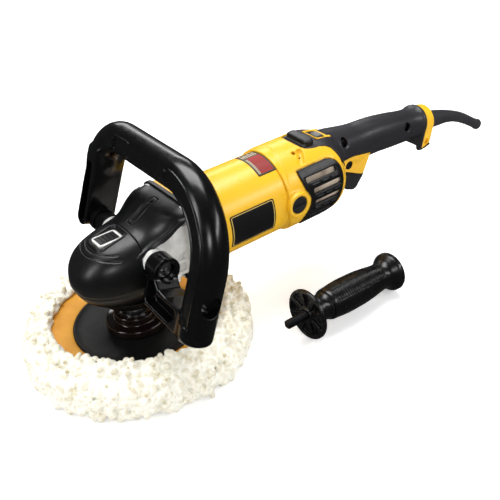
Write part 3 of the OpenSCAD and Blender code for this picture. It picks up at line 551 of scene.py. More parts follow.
def make_wool():
    """Locks of wool stamped as curled chains of balls into one field, round a plain ring."""
    rng = np.random.default_rng(11)
    step = 1.2
    lo = np.array([-PAD_R - 10, -PAD_R - 10, -1.5])
    shape = np.ceil((np.array([2 * PAD_R + 20, 2 * PAD_R + 20, 56])) / step).astype(int)
    axes = [lo[i] + np.arange(shape[i]) * step for i in range(3)]
    X, Y, Z = np.meshgrid(*axes, indexing="ij")
    R = np.hypot(X, Y)
    body = rect(R - 102.5, Z - 17, 10.5, 14.5, 9)
    under = rect(R, Z - 9, 100, 7.5, 3)
    near = 9 * np.clip(np.cos(np.arctan2(Y, X) - THICK), 0, 1) ** 2
    fringe = rect(R - 96.5 + near * 1.2, Z - 35.6, 8.5, 1.6, 1.5)
    body = join(body, join(fringe, rect(R - 99, Z - 30, 6.8, 7, 3)))
    field = join(join(body, under), 3 * step).astype(np.float32)
    # Roots spread over the ring's section: 0 is outside, 90 degrees is the top, 180 is inside
    for count in range(3000):
        a = rng.uniform(0, 2 * np.pi)
        turn = math.radians(rng.uniform(-62, 172))
        lean_in = 9 * facing(a) if turn > 1.6 else 0
        n = np.array([math.cos(turn), math.sin(turn)])
        root = np.array([102.0 - lean_in, 19.0]) + n * np.array([9.0, 12.5])
        out = np.array([math.cos(a), math.sin(a), 0])
        along = np.array([-math.sin(a), math.cos(a), 0])
        d = out * n[0] + np.array([0, 0, n[1]]) + rng.normal(0, 0.5, 3)
        d /= np.linalg.norm(d)
        bend = rng.normal(0, 1, 3)
        bend -= d * (bend @ d)
        bend /= np.linalg.norm(bend)
        pos = out * root[0] + np.array([0, 0, root[1]])
        if count > 2100:
            # Short locks on the rim that lies over the foam
            pos = out * (rng.uniform(88, 100) - 13 * facing(a))
            pos = pos + np.array([0, 0, 36])
            d = np.array([0, 0, 1]) + rng.normal(0, 0.6, 3)
            d /= np.linalg.norm(d)
        fat = rng.uniform(1.9, 3.6)
        length = rng.uniform(4.0, 10.5)
        curl = rng.uniform(1.2, 3.4)
        for k in range(7):
            u = k / 6
            arc = d * math.sin(curl * u) + bend * (1 - math.cos(curl * u))
            q = pos + arc * length / curl * 1.4
            q = q + along * math.sin(5 * u + a) * 0.6
            r = fat * (0.72 + 0.38 * math.sin(math.pi * (0.25 + 0.7 * u)))
            qr = math.hypot(q[0], q[1])
            inner = 84 + rng.uniform(0, 6) - 13 * facing(a)
            limit = PAD_R + 1 - r if qr + r > PAD_R + 1 else (inner + r if qr - r < inner else qr)
            q[:2] *= limit / qr
            floor_z = 35.2 + r * 0.8 if qr < DISC_R + 1 else r + 0.2
            q[2] = min(max(q[2], floor_z), PILE_TOP - r)
            c = np.round((q - lo) / step).astype(int)
            reach = int(r / step) + 3
            a0, a1 = meet(c - reach, 0), join(c + reach + 1, shape)
            window = tuple(slice(s0, s1) for s0, s1 in zip(a0, a1))
            ball = np.sqrt((X[window] - q[0]) ** 2 + (Y[window] - q[1]) ** 2
                           + (Z[window] - q[2]) ** 2) - r
            field[window] = smin(field[window], ball, 0.45)
    field = meet(field, (1.0 - Z).astype(np.float32) * 0.9)
    grid = openvdb.FloatGrid(3 * step)
    grid.copyFromArray(np.clip(field, -3 * step, 3 * step).astype(np.float32))
    points, _, quads = grid.convertToPolygons(adaptivity=0.0)
    return new_object("wool", lo + points * step, [q[::-1] for q in quads.tolist()])


wool = make_wool()
place(wool, "spindle_assembly", MAT["wool"], "wool", "wool_pad")


def turned(name, sharp, body, look, slot, nodes, profile):
    obj = lathe(name, profile)
    place(sharpen(obj, sharp) if sharp else obj, body, MAT[look], slot, *nodes)


def make_backing():
    """Foam rim, rubber plate with a stepped rim, and glossy hub with its rings."""
    spin = "spindle_assembly"
    turned("foam_disc", 50, spin, "foam", "amber_foam", ["backing_disc"], [
        (PLATE_R - 3, 28), (PLATE_R + 0.6, 30.6), (PLATE_R + 2.5, 31.6), (DISC_R - 16, 33.2),
        (DISC_R - 5, 34.4), (DISC_R - 2, 34.2), (DISC_R - 0.6, 32.5), (DISC_R - 0.2, 29),
        (DISC_R - 0.6, 24.2), (PLATE_R - 3, 24.2)])
    turned("rubber_plate", 50, spin, "rubber", "black_rubber", ["backing_plate"], [
        (6.8, 27.2), (PLATE_R - 0.4, 27.2), (PLATE_R - 0.1, 28), (PLATE_R - 0.1, 31.4),
        (PLATE_R - 0.7, 32.2), (PLATE_R - 1.9, 32.4), (PLATE_R - 3.0, 31.9), (PLATE_R - 3.8, 30.9),
        (PLATE_R - 12, 30.3), (44, 30.1), (34, 30.2), (6.8, 30.2)])
    turned("hub", None, spin, "hub", "gloss_black", ["backing_hub"], [
        (7.2, 30.3), (29.4, 30.3), (30.3, 30.7), (30.9, 31.6), (31.1, 33), (31.1, 37.6),
        (30.9, 38.8), (30.1, 39.6), (28.8, 39.9), (24.4, 40.1), (23.0, 40.5), (22.3, 41.4),
        (22.1, 42.6), (22.1, 47.2), (21.9, 48.2), (21.2, 48.9), (20, 49.1), (14, 49.1),
        (13.4, 48.7), (13.2, 47.5), (7.2, 47.5)])
    turned("spindle_collar", 40, spin, "steel", "steel", [], [
        (7, 47.6), (11.2, 47.6), (11.6, 48), (11.6, 53.5), (12.4, 54.4), (13.8, 54.8), (14, 55.4),
        (14, 59.6), (13.6, 60.2), (7, 60.2)])
    # A smaller cap stands for the bearing plate, to stay hidden behind the boot
    turned("bearing_cap", 40, "tool", "dark_steel", "dark_steel",
           ["bearing_plate", "bearing_plate_screws"], [
               (12.6, 64.4), (17, 64.0), (22, 64.6), (24.5, 66), (25.6, 68), (33.6, 69.4),
               (34.2, 70.2), (34.2, 76.5), (12.6, 76.5)])


make_backing()


# ---- head cover
TOP_AT = curve([-60, 0, 10, 20, 30, 40, 50, 60],
               [142.6, 142.6, 144.5, 149, 155, 158.3, 159.6, 160])
WIDE_AT = curve([-60, 0, 20, 30, 40, 50, 60], [42.3, 42.3, 42.3, 43.5, 44.2, 44.8, 44.8])
LOW_AT = curve([-60, 0, 20, 30, 40, 60], [70, 70, 70, 70, 71, 71])
MID_AT = curve([-60, 0, 10, 20, 30, 60], [100.6, 100.6, 103, 109, 115, 115])
SQUARE_AT = curve([-60, 0, 20, 30, 40, 60], [2.8, 2.8, 3.1, 4, 5, 6])
DOME = 58.1
SIDE_EDGE = [(-1, -60), (-1, 12), (9, 15), (24, 21), (37, 30), (50, 37), (70, 38), (90, 38),
             (90, -60)]
WINDOW_X = -15.5


def cover_body(p, inset=0.0):
    x, y, z = p
    w, mid = WIDE_AT(x) - inset, MID_AT(x)
    up, down = TOP_AT(x) - mid - inset, mid - LOW_AT(x) - inset
    dz = np.where(z > mid, (z - mid) / up, (mid - z) / down)
    e = np.where((z < mid) & (x < 8), 2.5, SQUARE_AT(x))
    s = (np.abs(y / w) ** e + np.abs(dz) ** e) ** (1 / e)
    t = meet(-x, 0) / (DOME - inset)
    s = (t ** 2.1 + s ** 2.3) ** (1 / 2.2)
    return (s - 1) * join(w, up) * 0.95


def side_opening(p, grow=0.0):
    """Where the cover is cut away to show the gear case, on both sides."""
    x, y, z = p
    flat = outline(x, z - AXIS, SIDE_EDGE) - grow
    return meet(flat, 29.5 - np.abs(y))


def head_cover(p):
    x, y, z = p
    d = cover_body(p)
    # A soft belt round the dome, under which the form falls away
    belt = np.abs(z - 96.5 - meet(x + 58, 0) * 0.02)
    d = d + 0.55 * np.clip(1 - belt / 1.6, 0, 1) * (x < 4) + 0.5 * (z < 96.5) * (x < 4)
    # Neck set back a little behind a seam across the top, and a lip at the rear
    neck = meet(cover_body(p, 1.0), -(x - 3.2))
    front = smax(d, x - 2.4, 0.9)
    d = join(front, neck)
    lip = meet(cover_body(p, -0.9), slab(x, 52.5, 57))
    d = smin(d, lip, 1.0)
    # Raised rim along the cut-out, then the cut-out itself
    edge = outline(x, z - AXIS, SIDE_EDGE)
    rim = meet(meet(cover_body(p, -0.9), np.abs(edge - 2.4) - 2.0),
               meet(28 - np.abs(y), z - 152))
    d = smin(d, meet(rim, AXIS + 14 - z), 0.7)
    # Window: a bevelled raised frame with a clear hole
    hole = rect(x - WINDOW_X, y, 13.5, 10.5, 3.5)
    frame_ring = meet(hole - 3.0, slab(z, 136, 143.4))
    d = smin(d, meet(frame_ring, cover_body(p, -1.2)), 1.0)
    bevel = hole - np.clip(z - 139.5, 0, 4) * 0.55
    d = cut(d, meet(bevel, 134 - z), 0.5)
    # Two bowed steps in front of the window, a groove round the neck's recess with its screw
    for reach, depth in ((26.5, 0.9), (31.5, 0.7)):
        bow = meet(np.abs(np.hypot(x + 9, y * 0.95) - reach) - 0.45, x + 19)
        d = cut(d, meet(bow, -cover_body(p, depth)), 0.4)
    slot = rect(x - 27, y - 2, 16.5, 4.4, 2.6)
    groove = meet(np.abs(slot) - 0.55, -cover_body(p, 2.4))
    d = cut(d, groove, 0.4)
    dish = meet(rect(x - 24, y - 2, 11, 2.6, 2.2), -cover_body(p, 2.2))
    d = cut(d, dish, 0.8)
    d = cut(d, rod(p, (37.5, 2, 130), (37.5, 2, 170), 1.7), 0.4)
    # Hollow inside, open sides, floor opening
    d = cut(d, cover_body(p, 3.4), 0.5)
    d = cut(d, side_opening(p), 1.0)
    d = cut(d, meet(18 - x, z - AXIS + 30.2), 0.8)
    d = cut(d, rod(p, (0, 0, 40), (0, 0, 76), 35), 1.0)
    d = meet(d, x - 57)
    return d


form("head_boot", head_cover, (-61, -47, 66), (58, 47, 162), 0.8,
     "tool", "cover", "black_plastic", "head_cover")


def gear_case(p):
    """The cast case where it shows: side walls, bolt bosses, flange and lock-button rim."""
    x, y, z = p
    flat = outline(x, z - AXIS, [(-4, -36), (-4, 11), (9, 14.2), (24, 20.2), (37, 29.2),
                                 (50, 36.2), (52, 36), (52, -36)])
    d = extrude(flat, np.abs(y) - 33 - np.clip(x - 10, 0, 40) * 0.06, 3)
    d = smin(d, rect(np.hypot(x, y), z - 98, 37, 26, 3), 3)
    flange = sheet(rect(y, z - AXIS, 43.2, 43.2, 15), x, 50, 57, 1.0)
    d = smin(d, flange, 3.0)
    # Only what the cover leaves open may show
    room = join(cover_body(p, 3.8), side_opening(p, -0.4))
    d = smax(d, np.where(x < 50, room, -9), 0.5)
    for s in (-1, 1):
        d = smin(d, rod_y(p, *BOLT, s * 25, s * 41.8, 12.4), 2.5)
    # A dark slot and a pocket in the side wall, and a ledge under them
    d = cut(d, meet(rect(x - 37, z - 108, 9, 4.2, 1), 31.2 - np.abs(y)), 0.6)
    d = cut(d, meet(rect(x - 40, z - 96, 6, 4.5, 1.5), 32.4 - np.abs(y)), 0.6)
    ledge = extrude(rect(x - 30, z - 86.5, 21, 1.8, 1), np.abs(y) - 36, 0.8)
    d = smin(d, ledge, 1.5)
    for sy in (-LUG, LUG):
        for sz in (-LUG, LUG):
            d = cut(d, rod(p, (38, sy, AXIS + sz), (50, sy, AXIS + sz), 5.6), 1.0)
    d = cut(d, rod(p, (0, 0, 50), (0, 0, 108), 33.5), 0.5)
    d = cut(d, rod(p, (14, 0, AXIS), (70, 0, AXIS), 30), 0.5)
    # The bright rim round the lock button
    rim = meet(np.abs(rect(x - WINDOW_X, y, 11.4, 8.4, 3)) - 1.4, slab(z, 130, 139.4))
    return smin(d, rim, 0.8)


form("cast_case", gear_case, (-38, -45, 70), (58, 45, 160), 0.9,
     "tool", "alloy", "cast_alloy", "gear_case")


# ---- bail handle
def bail_handle(p):
    x, y, z = p
    rx, rz = x - BOLT[0], z - BOLT[1]
    u = -y
    v = rx * math.sin(BAIL_LEAN) + rz * math.cos(BAIL_LEAN)
    c = -rx * math.cos(BAIL_LEAN) + rz * math.sin(BAIL_LEAN)
    side, top, arm, big, small, deep = 119, 92, 75, 70, 33, 16.9
    inner = join(join(top - v, side - u), u + arm)
    right = (u > side - big) & (v > top - big)
    inner = np.where(right, big - np.hypot(u - side + big, v - top + big), inner)
    left = (u < small - arm) & (v > top - small)
    inner = np.where(left, small - np.hypot(u + arm - small, v - top + small), inner)
    tube = np.hypot(inner, c) - BAIL_R
    # Flat strip on the front face, between two beads
    lean = math.radians(84)
    out = inner * math.cos(lean) + c * math.sin(lean)
    along = -inner * math.sin(lean) + c * math.cos(lean)
    live = (u > -40) & (v > -24)
    tube = np.where(live, smax(tube, out - 14.4, 0.8), tube)
    for at in (-7.2, 7.2):
        bead = np.hypot(along - at, out - 14.1) - 1.35
        tube = smin(tube, np.where(live & (np.abs(u - 20) > 34), bead, 9), 0.3)
    panel = meet(rect(along, u - 20, 5.2, 30, 2), np.abs(out - 14.4) - 0.9)
    tube = smin(tube, np.where(v > 60, panel, 9), 0.6)
    # The grip goes down to a square-cornered end; the other side turns into a channel
    end = smax(tube, -(v + 40.5), 6)
    grip = np.where(u > 0, end, smax(tube, 50 - v, 16))
    rounded = np.where(v < 0, np.hypot(u + arm, v) - 9.2, np.abs(u + arm - v * 0.045) - 9.2)
    channel = extrude(meet(rounded, v - 74), np.abs(c) - deep, 2.0)
    channel = smax(channel, np.where(v > 50, -15.5 - inner, -99), 5)
    d = smin(grip, channel, 5)
    slot = sheet(rect(u + arm, v - 26, 5.6, 33, 3), c, 5.5, 40, 1)
    d = cut(d, slot, 1.0)
    # Bracket from the grip to the bolt, with a rimmed pocket, and the bolt's socket
    plate = outline(u, v, [(48.5, 0), (48.5, -31), (53, -36.5), (100, -40), (116, -40), (119, -20),
                           (108, -15), (82, -15), (70, -13), (60, -4)])
    bracket = extrude(plate, np.abs(c) - 13.2, 2.0)
    pocket = outline(u, v, [(53, -9), (59, -9), (68, -18), (99, -18.5), (101, -25), (92, -34.8),
                            (56, -32.5), (53, -29)])
    lug = rod_y(p, *BOLT, -44, -62, 14.3)
    d = smin(d, bracket, 4)
    d = cut(d, meet(pocket, 2 - c), 1.2)
    d = smin(d, lug + 0.3, 2.0)
    d = cut(d, rod_y(p, *BOLT, -48, -80, 9.0), 0.9)
    d = cut(d, rod_y(p, *BOLT, -93, -150, 10.0), 0.8)
    d = cut(d, rod_y(p, *BOLT, 76, 100, 7.5), 0.6)
    return d


form("front_handle", bail_handle, (-30, -137, 72), (70, 93, 228), 0.85,
     "tool", "gloss", "gloss_black", "bail_handle")


# ---- motor and rear housings
def polar(p):
    """(radius, angle in degrees up from the left side) about the motor axis."""
    x, y, z = p
    return np.hypot(y, z - AXIS), np.degrees(np.arctan2(z - AXIS, -y))


def rear_skin(p):
    """Distance to the rear housing's outer surface, without its front end."""
    x = p[0]
    r = polar(p)[0]
    end = np.where(r > REAR_R - SHOULDER_R,
                   np.hypot(x - SHOULDER_X, r - REAR_R + SHOULDER_R) - SHOULDER_R, x - REAR_END)
    return np.where(x < SHOULDER_X, meet(r - REAR_R, x - REAR_END), end)


SADDLE = [(0, 206.3), (4, 206.6), (12, 207.6), (20, 210), (25, 213.6), (28, 220), (30, 230),
          (32.5, 236), (37, 241), (46, 245), (55, 248), (65, 252), (76, 258), (80, 268)]


def saddle_edge(p):
    """Negative where the rear housing's top belongs to the black saddle."""
    r, a = polar(p)
    off = np.abs(90 - a)
    off = join(off, 360 - off) * math.radians(1) * REAR_R
    pts = [(math.radians(a) * REAR_R, x) for a, x in SADDLE]
    return outline(off, p[0], [(-40, SADDLE[0][1])] + pts + [(pts[-1][0], 330), (-40, 330)])


def motor_housing(p):
    x = p[0]
    r = polar(p)[0]
    d = sheet(r - MOTOR_R, x, 57, 170, 0.6)
    collar = sheet(r - MOTOR_R - 0.9, x, 57, 66, 0.6)
    d = smin(d, collar, 1.5)
    flange = sheet(rect(p[1], p[2] - AXIS, 43.4, 43.4, 15), x, 57, 62, 0.8)
    d = smin(d, flange, 2.5)
    lug = pill(corners(p), (58, LUG, AXIS + LUG), (69, LUG - 0.3, AXIS + LUG - 0.3), 5.6)
    d = smin(d, meet(lug, 57 - x), 2.5)
    return cut(d, r - 40.4, 0.5)


form("motor_shell", motor_housing, (56, -46, 68), (171, 46, 162), 1.25,
     "tool", "yellow", "yellow_plastic", "motor_housing")


VENT = [(187.4, 42.0), (226, 42.6), (233, 40), (239.2, 34.3), (243, 26), (244.4, 15), (244.2, 5),
        (242.6, -5), (240, -16), (236, -28), (230, -40), (221, -48), (192, -50), (190.5, -40),
        (191, -31), (194, -19), (196.6, -9), (197.2, 0), (194.8, 7), (191.4, 14), (189.6, 22),
        (187.8, 33)]
WINDOWS = [(25.2, 195, 235), (7.8, 202, 240.5), (-10.2, 203.5, 238.5), (-27.6, 198.5, 231.5),
           (-42, 196, 223)]
LOUVRES = [(16.5, (199, 238)), (-1.3, (203, 239)), (-19, (202, 234)), (-35.2, (197.5, 227))]


def vent_flat(p):
    """Distance to the vent cover's outline, unrolled, and the way round; alike on both sides."""
    arc = polar((p[0], -np.abs(p[1]), p[2]))[1] * UNIT
    return outline(p[0], arc, [(x, a * UNIT) for x, a in VENT]), arc


SEAM = curve([-90, -60, -45, -20, 0, 11.5, 36, 56, 77, 90],
             [178, 178, 177, 171, 167.5, 169.3, 174.2, 177.8, 180.4, 183])


def saddle_top(p):
    """Outer surface of the saddle: the housing's round form with its top taken down flat."""
    return smax(rear_skin(p) - 0.7, p[2] - 157.2, 7)


def on_side(x, r, a):
    """A point on the right side, r from the motor axis and at angle a up from level."""
    return x, r * math.cos(a), AXIS + r * math.sin(a)


def rear_housing(p):
    x, y, z = p
    r, a = polar((x, -np.abs(y), z))
    behind = np.clip((x - SEAM(np.clip(a, -90, 90))) / 0.5, -1, 1)
    low = 0.45 + 0.9 * np.clip((-a - 5) / 25, 0, 1)
    d = smax(rear_skin(p) + low * (1 - behind), REAR_X - x, 0.8)
    # Brush boss with a soft foot, and its mouth
    both = mirrored(p)
    d = smin(d, rod_y(both, BRUSH_X, AXIS, 30, 49.3, 13.4), 2.5)
    foot = rod_y(both, BRUSH_X - 3, AXIS, 30, 44.6, 15.5)
    d = smin(d, meet(foot, REAR_X - x), 1.5)
    flat = vent_flat(p)[0]
    d = cut(d, meet(flat + 2.0, 42.5 - r), 0.5)
    seat = meet(np.abs(flat) - 0.5, -rear_skin(p) - 1.2)
    d = cut(d, seat, 0.3)
    d = cut(d, rod_y(both, BRUSH_X, AXIS, 40, 60, 10.0), 0.9)
    # Screw recess beside the saddle: a deep scoop with a hole at its upper end
    up, low = math.radians(64), math.radians(50)
    d = cut(d, pill(both, on_side(204.5, 47.2, up), on_side(199.2, 47.2, low), 3.9), 0.5)
    up += 0.03
    d = cut(d, rod(both, on_side(197.6, 40, up), on_side(197.6, 50, up), 2.3), 0.3)
    # Room for the saddle, and the hollow inside
    d = cut(d, meet(saddle_edge(p) - 0.4, -(saddle_top(p) + 3.6)), 0.4)
    inside = meet(polar(p)[0] - 42.5, slab(x, 160, 250))
    return cut(d, inside, 0.5)


form("rear_shell", rear_housing, (169, -51, 66), (262, 51, 163), 0.9,
     "tool", "yellow", "yellow_plastic", "rear_housing")


def vent_cover(p):
    skin = rear_skin(p)
    flat, arc = vent_flat(p)

    def strip(x0, x1, a, half_x, half_a, r):
        """A rounded bar about the middle of x0 to x1, a degrees round."""
        return rect(p[0] - (x0 + x1) / 2, arc - a * UNIT, half_x, half_a, r)

    rim = sheet(flat + 0.4, skin, -2.6, 1.1, 0.7)
    sunk = extrude(meet(flat + 4.2, slab(arc, -60 * UNIT, 29.6 * UNIT)),
                   slab(skin, 0.15, 3), 0.3)
    d = cut(rim, sunk, 0.6)
    for a, (x0, x1) in LOUVRES:
        bar = strip(x0, x1, a, (x1 - x0) / 2 + 1, 3.4, 2)
        d = smin(d, sheet(bar, skin, -2, 1.0, 0.7), 0.5)
    for a, x0, x1 in WINDOWS:
        d = cut(d, strip(x0, x1, a, (x1 - x0) / 2, 3.1, 1.6), 0.6)
    for a, (x0, x1) in LOUVRES:
        third = (x1 - x0) / 3
        for k in range(3):
            mid = x0 + (k + 0.5) * third
            lip = strip(mid, mid, a, third * 0.38, 1.25, 1.1)
            d = smin(d, sheet(lip, skin, 0, 1.9, 0.5), 0.4)
            slit = strip(mid, mid, a - 0.5 / UNIT, third * 0.31, 0.5, 0.4)
            d = cut(d, meet(slit, 0.4 - skin), 0.3)
    return d


def vent_screen(p):
    return sheet(vent_flat(p)[0] + 1.2, rear_skin(p), -4.0, -3.0, 0.2)


for side, y0, y1 in (("left", -50.5, -28), ("right", 28, 50.5)):
    form("vent_grille_" + side, vent_cover, (186, y0, 76), (247, y1, 150), 0.55,
         "tool", "black", "black_plastic", "vent_cover_" + side)
    form("lint_screen_" + side, vent_screen, (188, y0, 78), (245, y1, 150), 0.8,
         "tool", "screen", "tan_mesh", "vent_meshes")


# ---- rear handle
HANDLE_X = [236, 250, 266, 282, 298, 314, 330, 346, 362, 374, 388, 394, 399, 404]
HANDLE_Z = curve(HANDLE_X, [13, 13, 12.5, 11.8, 11.6, 11.6, 10.8, 9, 7, 5.4, 3.8, 3.0, 2.4, 1.6])
HANDLE_W = curve(HANDLE_X, [26, 26, 25.5, 23.6, 21.4, 20.5, 20.3, 20, 19.2, 18.4, 18.0, 18.8, 20,
                            20.1])
HANDLE_H = curve(HANDLE_X, [27.5, 27.5, 26, 23.8, 21.6, 20.7, 20.4, 20, 19.3, 18.5, 18.1, 18.9,
                            20.2, 20.3])
RING = (399.0, AXIS + 1.5)
TILT = math.radians(12)
RING_LEN = 14.0


def tail(p):
    """(down, across, back) in the drooping end ring's own frame."""
    x, y, z = p[0] - RING[0], p[1], p[2] - RING[1]
    back = x * math.cos(TILT) - z * math.sin(TILT)
    down = -z * math.cos(TILT) - x * math.sin(TILT)
    return down, y, back


def handle_core(p, inset=0.0):
    x, y, z = p
    w, h = HANDLE_W(x) - inset, HANDLE_H(x) - inset
    e = 2.25
    s = (np.abs(y / w) ** e + np.abs((z - AXIS - HANDLE_Z(x)) / h) ** e) ** (1 / e)
    return (s - 1) * join(w, h) * 0.97


def arch(down, across):
    """The end ring's outline: round above, straight sides, two short feet."""
    disc = np.hypot(down + 1.4, across) - 19.9
    legs = outline(down, across, [(-1.4, -19.85), (14, -19.3), (24, -18.8), (27.4, -17.6),
                                  (27.8, -15.4), (26.2, -14.2), (23, -13), (23, 13), (26.2, 14.2),
                                  (27.8, 15.4), (27.4, 17.6), (24, 18.8), (14, 19.3),
                                  (-1.4, 19.85)])
    return join(disc, legs)


def handle_shell(p):
    x, y, z = p
    down, across, back = tail(p)
    core = smax(handle_core(p), back, 0.8)
    core = smax(core, 236 - x, 1.0)
    skin = sheet(saddle_edge(p), saddle_top(p), -3.4, 0, 1.2)
    d = smin(core, skin, 5)
    # Flange in front of the end ring, and a thin sole under its feet
    ring = arch(down, across)
    d = smin(d, sheet(ring - 0.7, back, -4.0, -0.1, 0.7), 1.5)
    slope = down + np.clip(back, 0, 14) * 0.52
    sole = np.where(down > 12, meet(ring - 1.1, slab(slope, 26.8, 28.6)), 9)
    sole = meet(sole, slab(back, -3, 13.2))
    d = smin(d, sole, 0.5)
    # Room for the dial frame, screw recesses, trigger collar
    d = cut(d, block(p, (237, -10.9, AXIS + 30), (252.4, 10.9, AXIS + 60), 0.5), 0.4)
    for sx, sz, r in ((269, 28.5, 5.0), (369.5, 11.6, 5.1)):
        d = cut(d, rod_y(mirrored(p), sx, AXIS + sz, 12.5, 40, r), 0.8)
    d = cut(d, web_room(p), 0.4)
    d = cut(d, meet(handle_core(p, 3.2), meet(239 - x, back + 4)), 0.5)
    return cut(d, meet(meet(saddle_top(p) + 3.4, 209 - x), x - 262), 0.5)


WEB = [(258, 10.6), (276, 10.2), (284, 8.6), (296, 5.4), (311, 1.4), (310.8, -3.2), (306, -12.6),
       (302, -21.4), (298.5, -22.3), (273, -10.2), (258, -10.2)]


def web_room(p):
    return meet(outline(p[0], p[2] - AXIS, WEB) - 0.35, 261 - p[0])


form("rear_grip", handle_shell, (205, -46, 84), (414, 46, 164), 0.95,
     "tool", "handle", "grey_grip", "handle_shell_left", "handle_shell_right")


def end_ring(p):
    down, across, back = tail(p)
    flat = arch(down, across) + np.clip(back, 0, RING_LEN) * 0.03
    flat = smax(flat, down + np.clip(back, 0, 14) * 0.52 - 26.8, 0.8)
    d = sheet(flat, back, 0.0, RING_LEN - 0.3, 1.1)
    d = cut(d, np.hypot(down, across) - 14.9, 0.8)
    scoop = np.hypot((down - 17.6) / 1.15, (back - 6.9)) - 3.0
    return cut(d, meet(scoop, 15.2 - np.abs(across)), 0.6)


form("end_ring_shell", end_ring, (390, -24, 84), (418, 24, 140), 0.6,
     "tool", "yellow", "yellow_plastic", "end_ring")

LOCK_ON = (274.5, AXIS - 0.5)


def trigger_web(p):
    x, y, z = p
    across = join(np.abs(y) - 16, meet(handle_core(p, 0.5), np.abs(y) - 22))
    d = extrude(outline(x, z - AXIS, WEB), smin(np.abs(y) - 16, across, 1.5), 1.0)
    d = cut(d, block(p, (268.5, -9.9, AXIS - 45), (320, 9.9, AXIS - 6), 1), 0.5)
    d = cut(d, rod_y(mirrored(p), *LOCK_ON, 9.3, 40, 5.3), 0.6)
    return meet(d, 261.1 - x)


form("trigger_guard", trigger_web, (260, -23, 90), (316, 23, 128), 0.65,
     "tool", "yellow", "yellow_plastic", "trigger_web")


def lock_button(p):
    r = from_y(p, *LOCK_ON)
    d = sheet(r - 4.9, p[1], -21.6, -12.5, 0.9)
    return cut(d, np.hypot(r, p[1] + 27) - 6.3, 0.4)


form("lock_on_knob", lock_button, (268, -23, 108), (281, -11, 121), 0.45,
     "lock_on", "black", "black_plastic", "lock_on_button")


# ---- saddle bumper and speed dial
def bumper(p):
    """A soft rounded bar across the saddle, with a groove along its front."""
    x, y, z = p
    d = sheet(rect(x - 222.6, y, 6.2, 17.2, 4.5), z, 151, 162.4, 2.8)
    low = sheet(rect(x - 216.6, y, 3.0, 16.4, 2.5), z, 151, 158.2, 1.2)
    d = smin(d, low, 0.8)
    return cut(d, pill(p, (217.6, -14, 158.9), (217.6, 6, 158.9), 0.8), 0.4)


form("saddle_bumper", bumper, (211, -19, 151), (230, 19, 164), 0.55,
     "tool", "black", "black_rubber", "top_bumper")


def dial_frame(p):
    """A thin frame lying in the handle's slope, deeper at its back bar."""
    x, y = p[0], p[1]
    z = p[2] + 0.2 * (x - 236)
    d = sheet(rect(x - 245.9, y, 10.1, 12.4, 1.2), z, 154.4, 158.5, 0.5)
    hole = rect(x - 243.9, y, 6.3, 10.2, 1.0) - np.clip(z - 157.4, 0, 2) * 0.8
    d = cut(d, meet(hole, 150 - z), 0.3)
    stem = sheet(rect(x - 244.6, y, 7.2, 10.6, 0.5), p[2], AXIS + 31, 153, 0.5)
    return join(d, cut(stem, rect(x - 244.6, y, 6.2, 9.2, 0.5), 0.2))


form("dial_frame", dial_frame, (234, -14, 144), (258, 14, 160), 0.45,
     "tool", "yellow", "yellow_plastic", "dial_bezel")


def dial_plinth(p):
    """Black seat under the frame, and the black front lip of its window."""
    x, y = p[0], p[1]
    z = p[2] + 0.2 * (x - 236)
    d = sheet(rect(x - 245.3, y, 11.2, 13.2, 1.5), z, 152, 157.2, 0.6)
    d = cut(d, rect(x - 244.2, y, 6.0, 9.4, 0.5), 0.3)
    lip = sheet(rect(x - 239.2, y, 1.5, 9.6, 0.6), z, 152, 157.9, 0.5)
    return join(d, lip)


form("dial_seat", dial_plinth, (233, -15, 147), (258, 15, 159), 0.5,
     "tool", "black", "black_plastic")

DIAL_LO, DIAL_HI = mm_box("speed_dial")
DIAL_X, DIAL_Z = (DIAL_LO[0] + DIAL_HI[0]) / 2, (DIAL_LO[2] + DIAL_HI[2]) / 2


def dial_wheel(p):
    r = from_y(p, DIAL_X, DIAL_Z)
    a = np.arctan2(p[2] - DIAL_Z, p[0] - DIAL_X)
    return extrude(r - 8.0 - 0.3 * np.cos(24 * a), np.abs(p[1]) - 5.2, 0.3)


def dial_hub(p):
    r = from_y(p, DIAL_X, DIAL_Z)
    return meet(extrude(r - 7.4, np.abs(p[1]) - 8.2, 0.5), 5.1 - np.abs(p[1]))


form("dial_wheel", dial_wheel, (DIAL_X - 10, -6, DIAL_Z - 10), (DIAL_X + 10, 6, DIAL_Z + 10),
     0.45, "dial", "dial", "grey_grip", "speed_dial")
form("dial_sides", dial_hub, (DIAL_X - 10, -9, DIAL_Z - 10), (DIAL_X + 10, 9, DIAL_Z + 10),
     0.6, "dial", "black", "black_plastic")


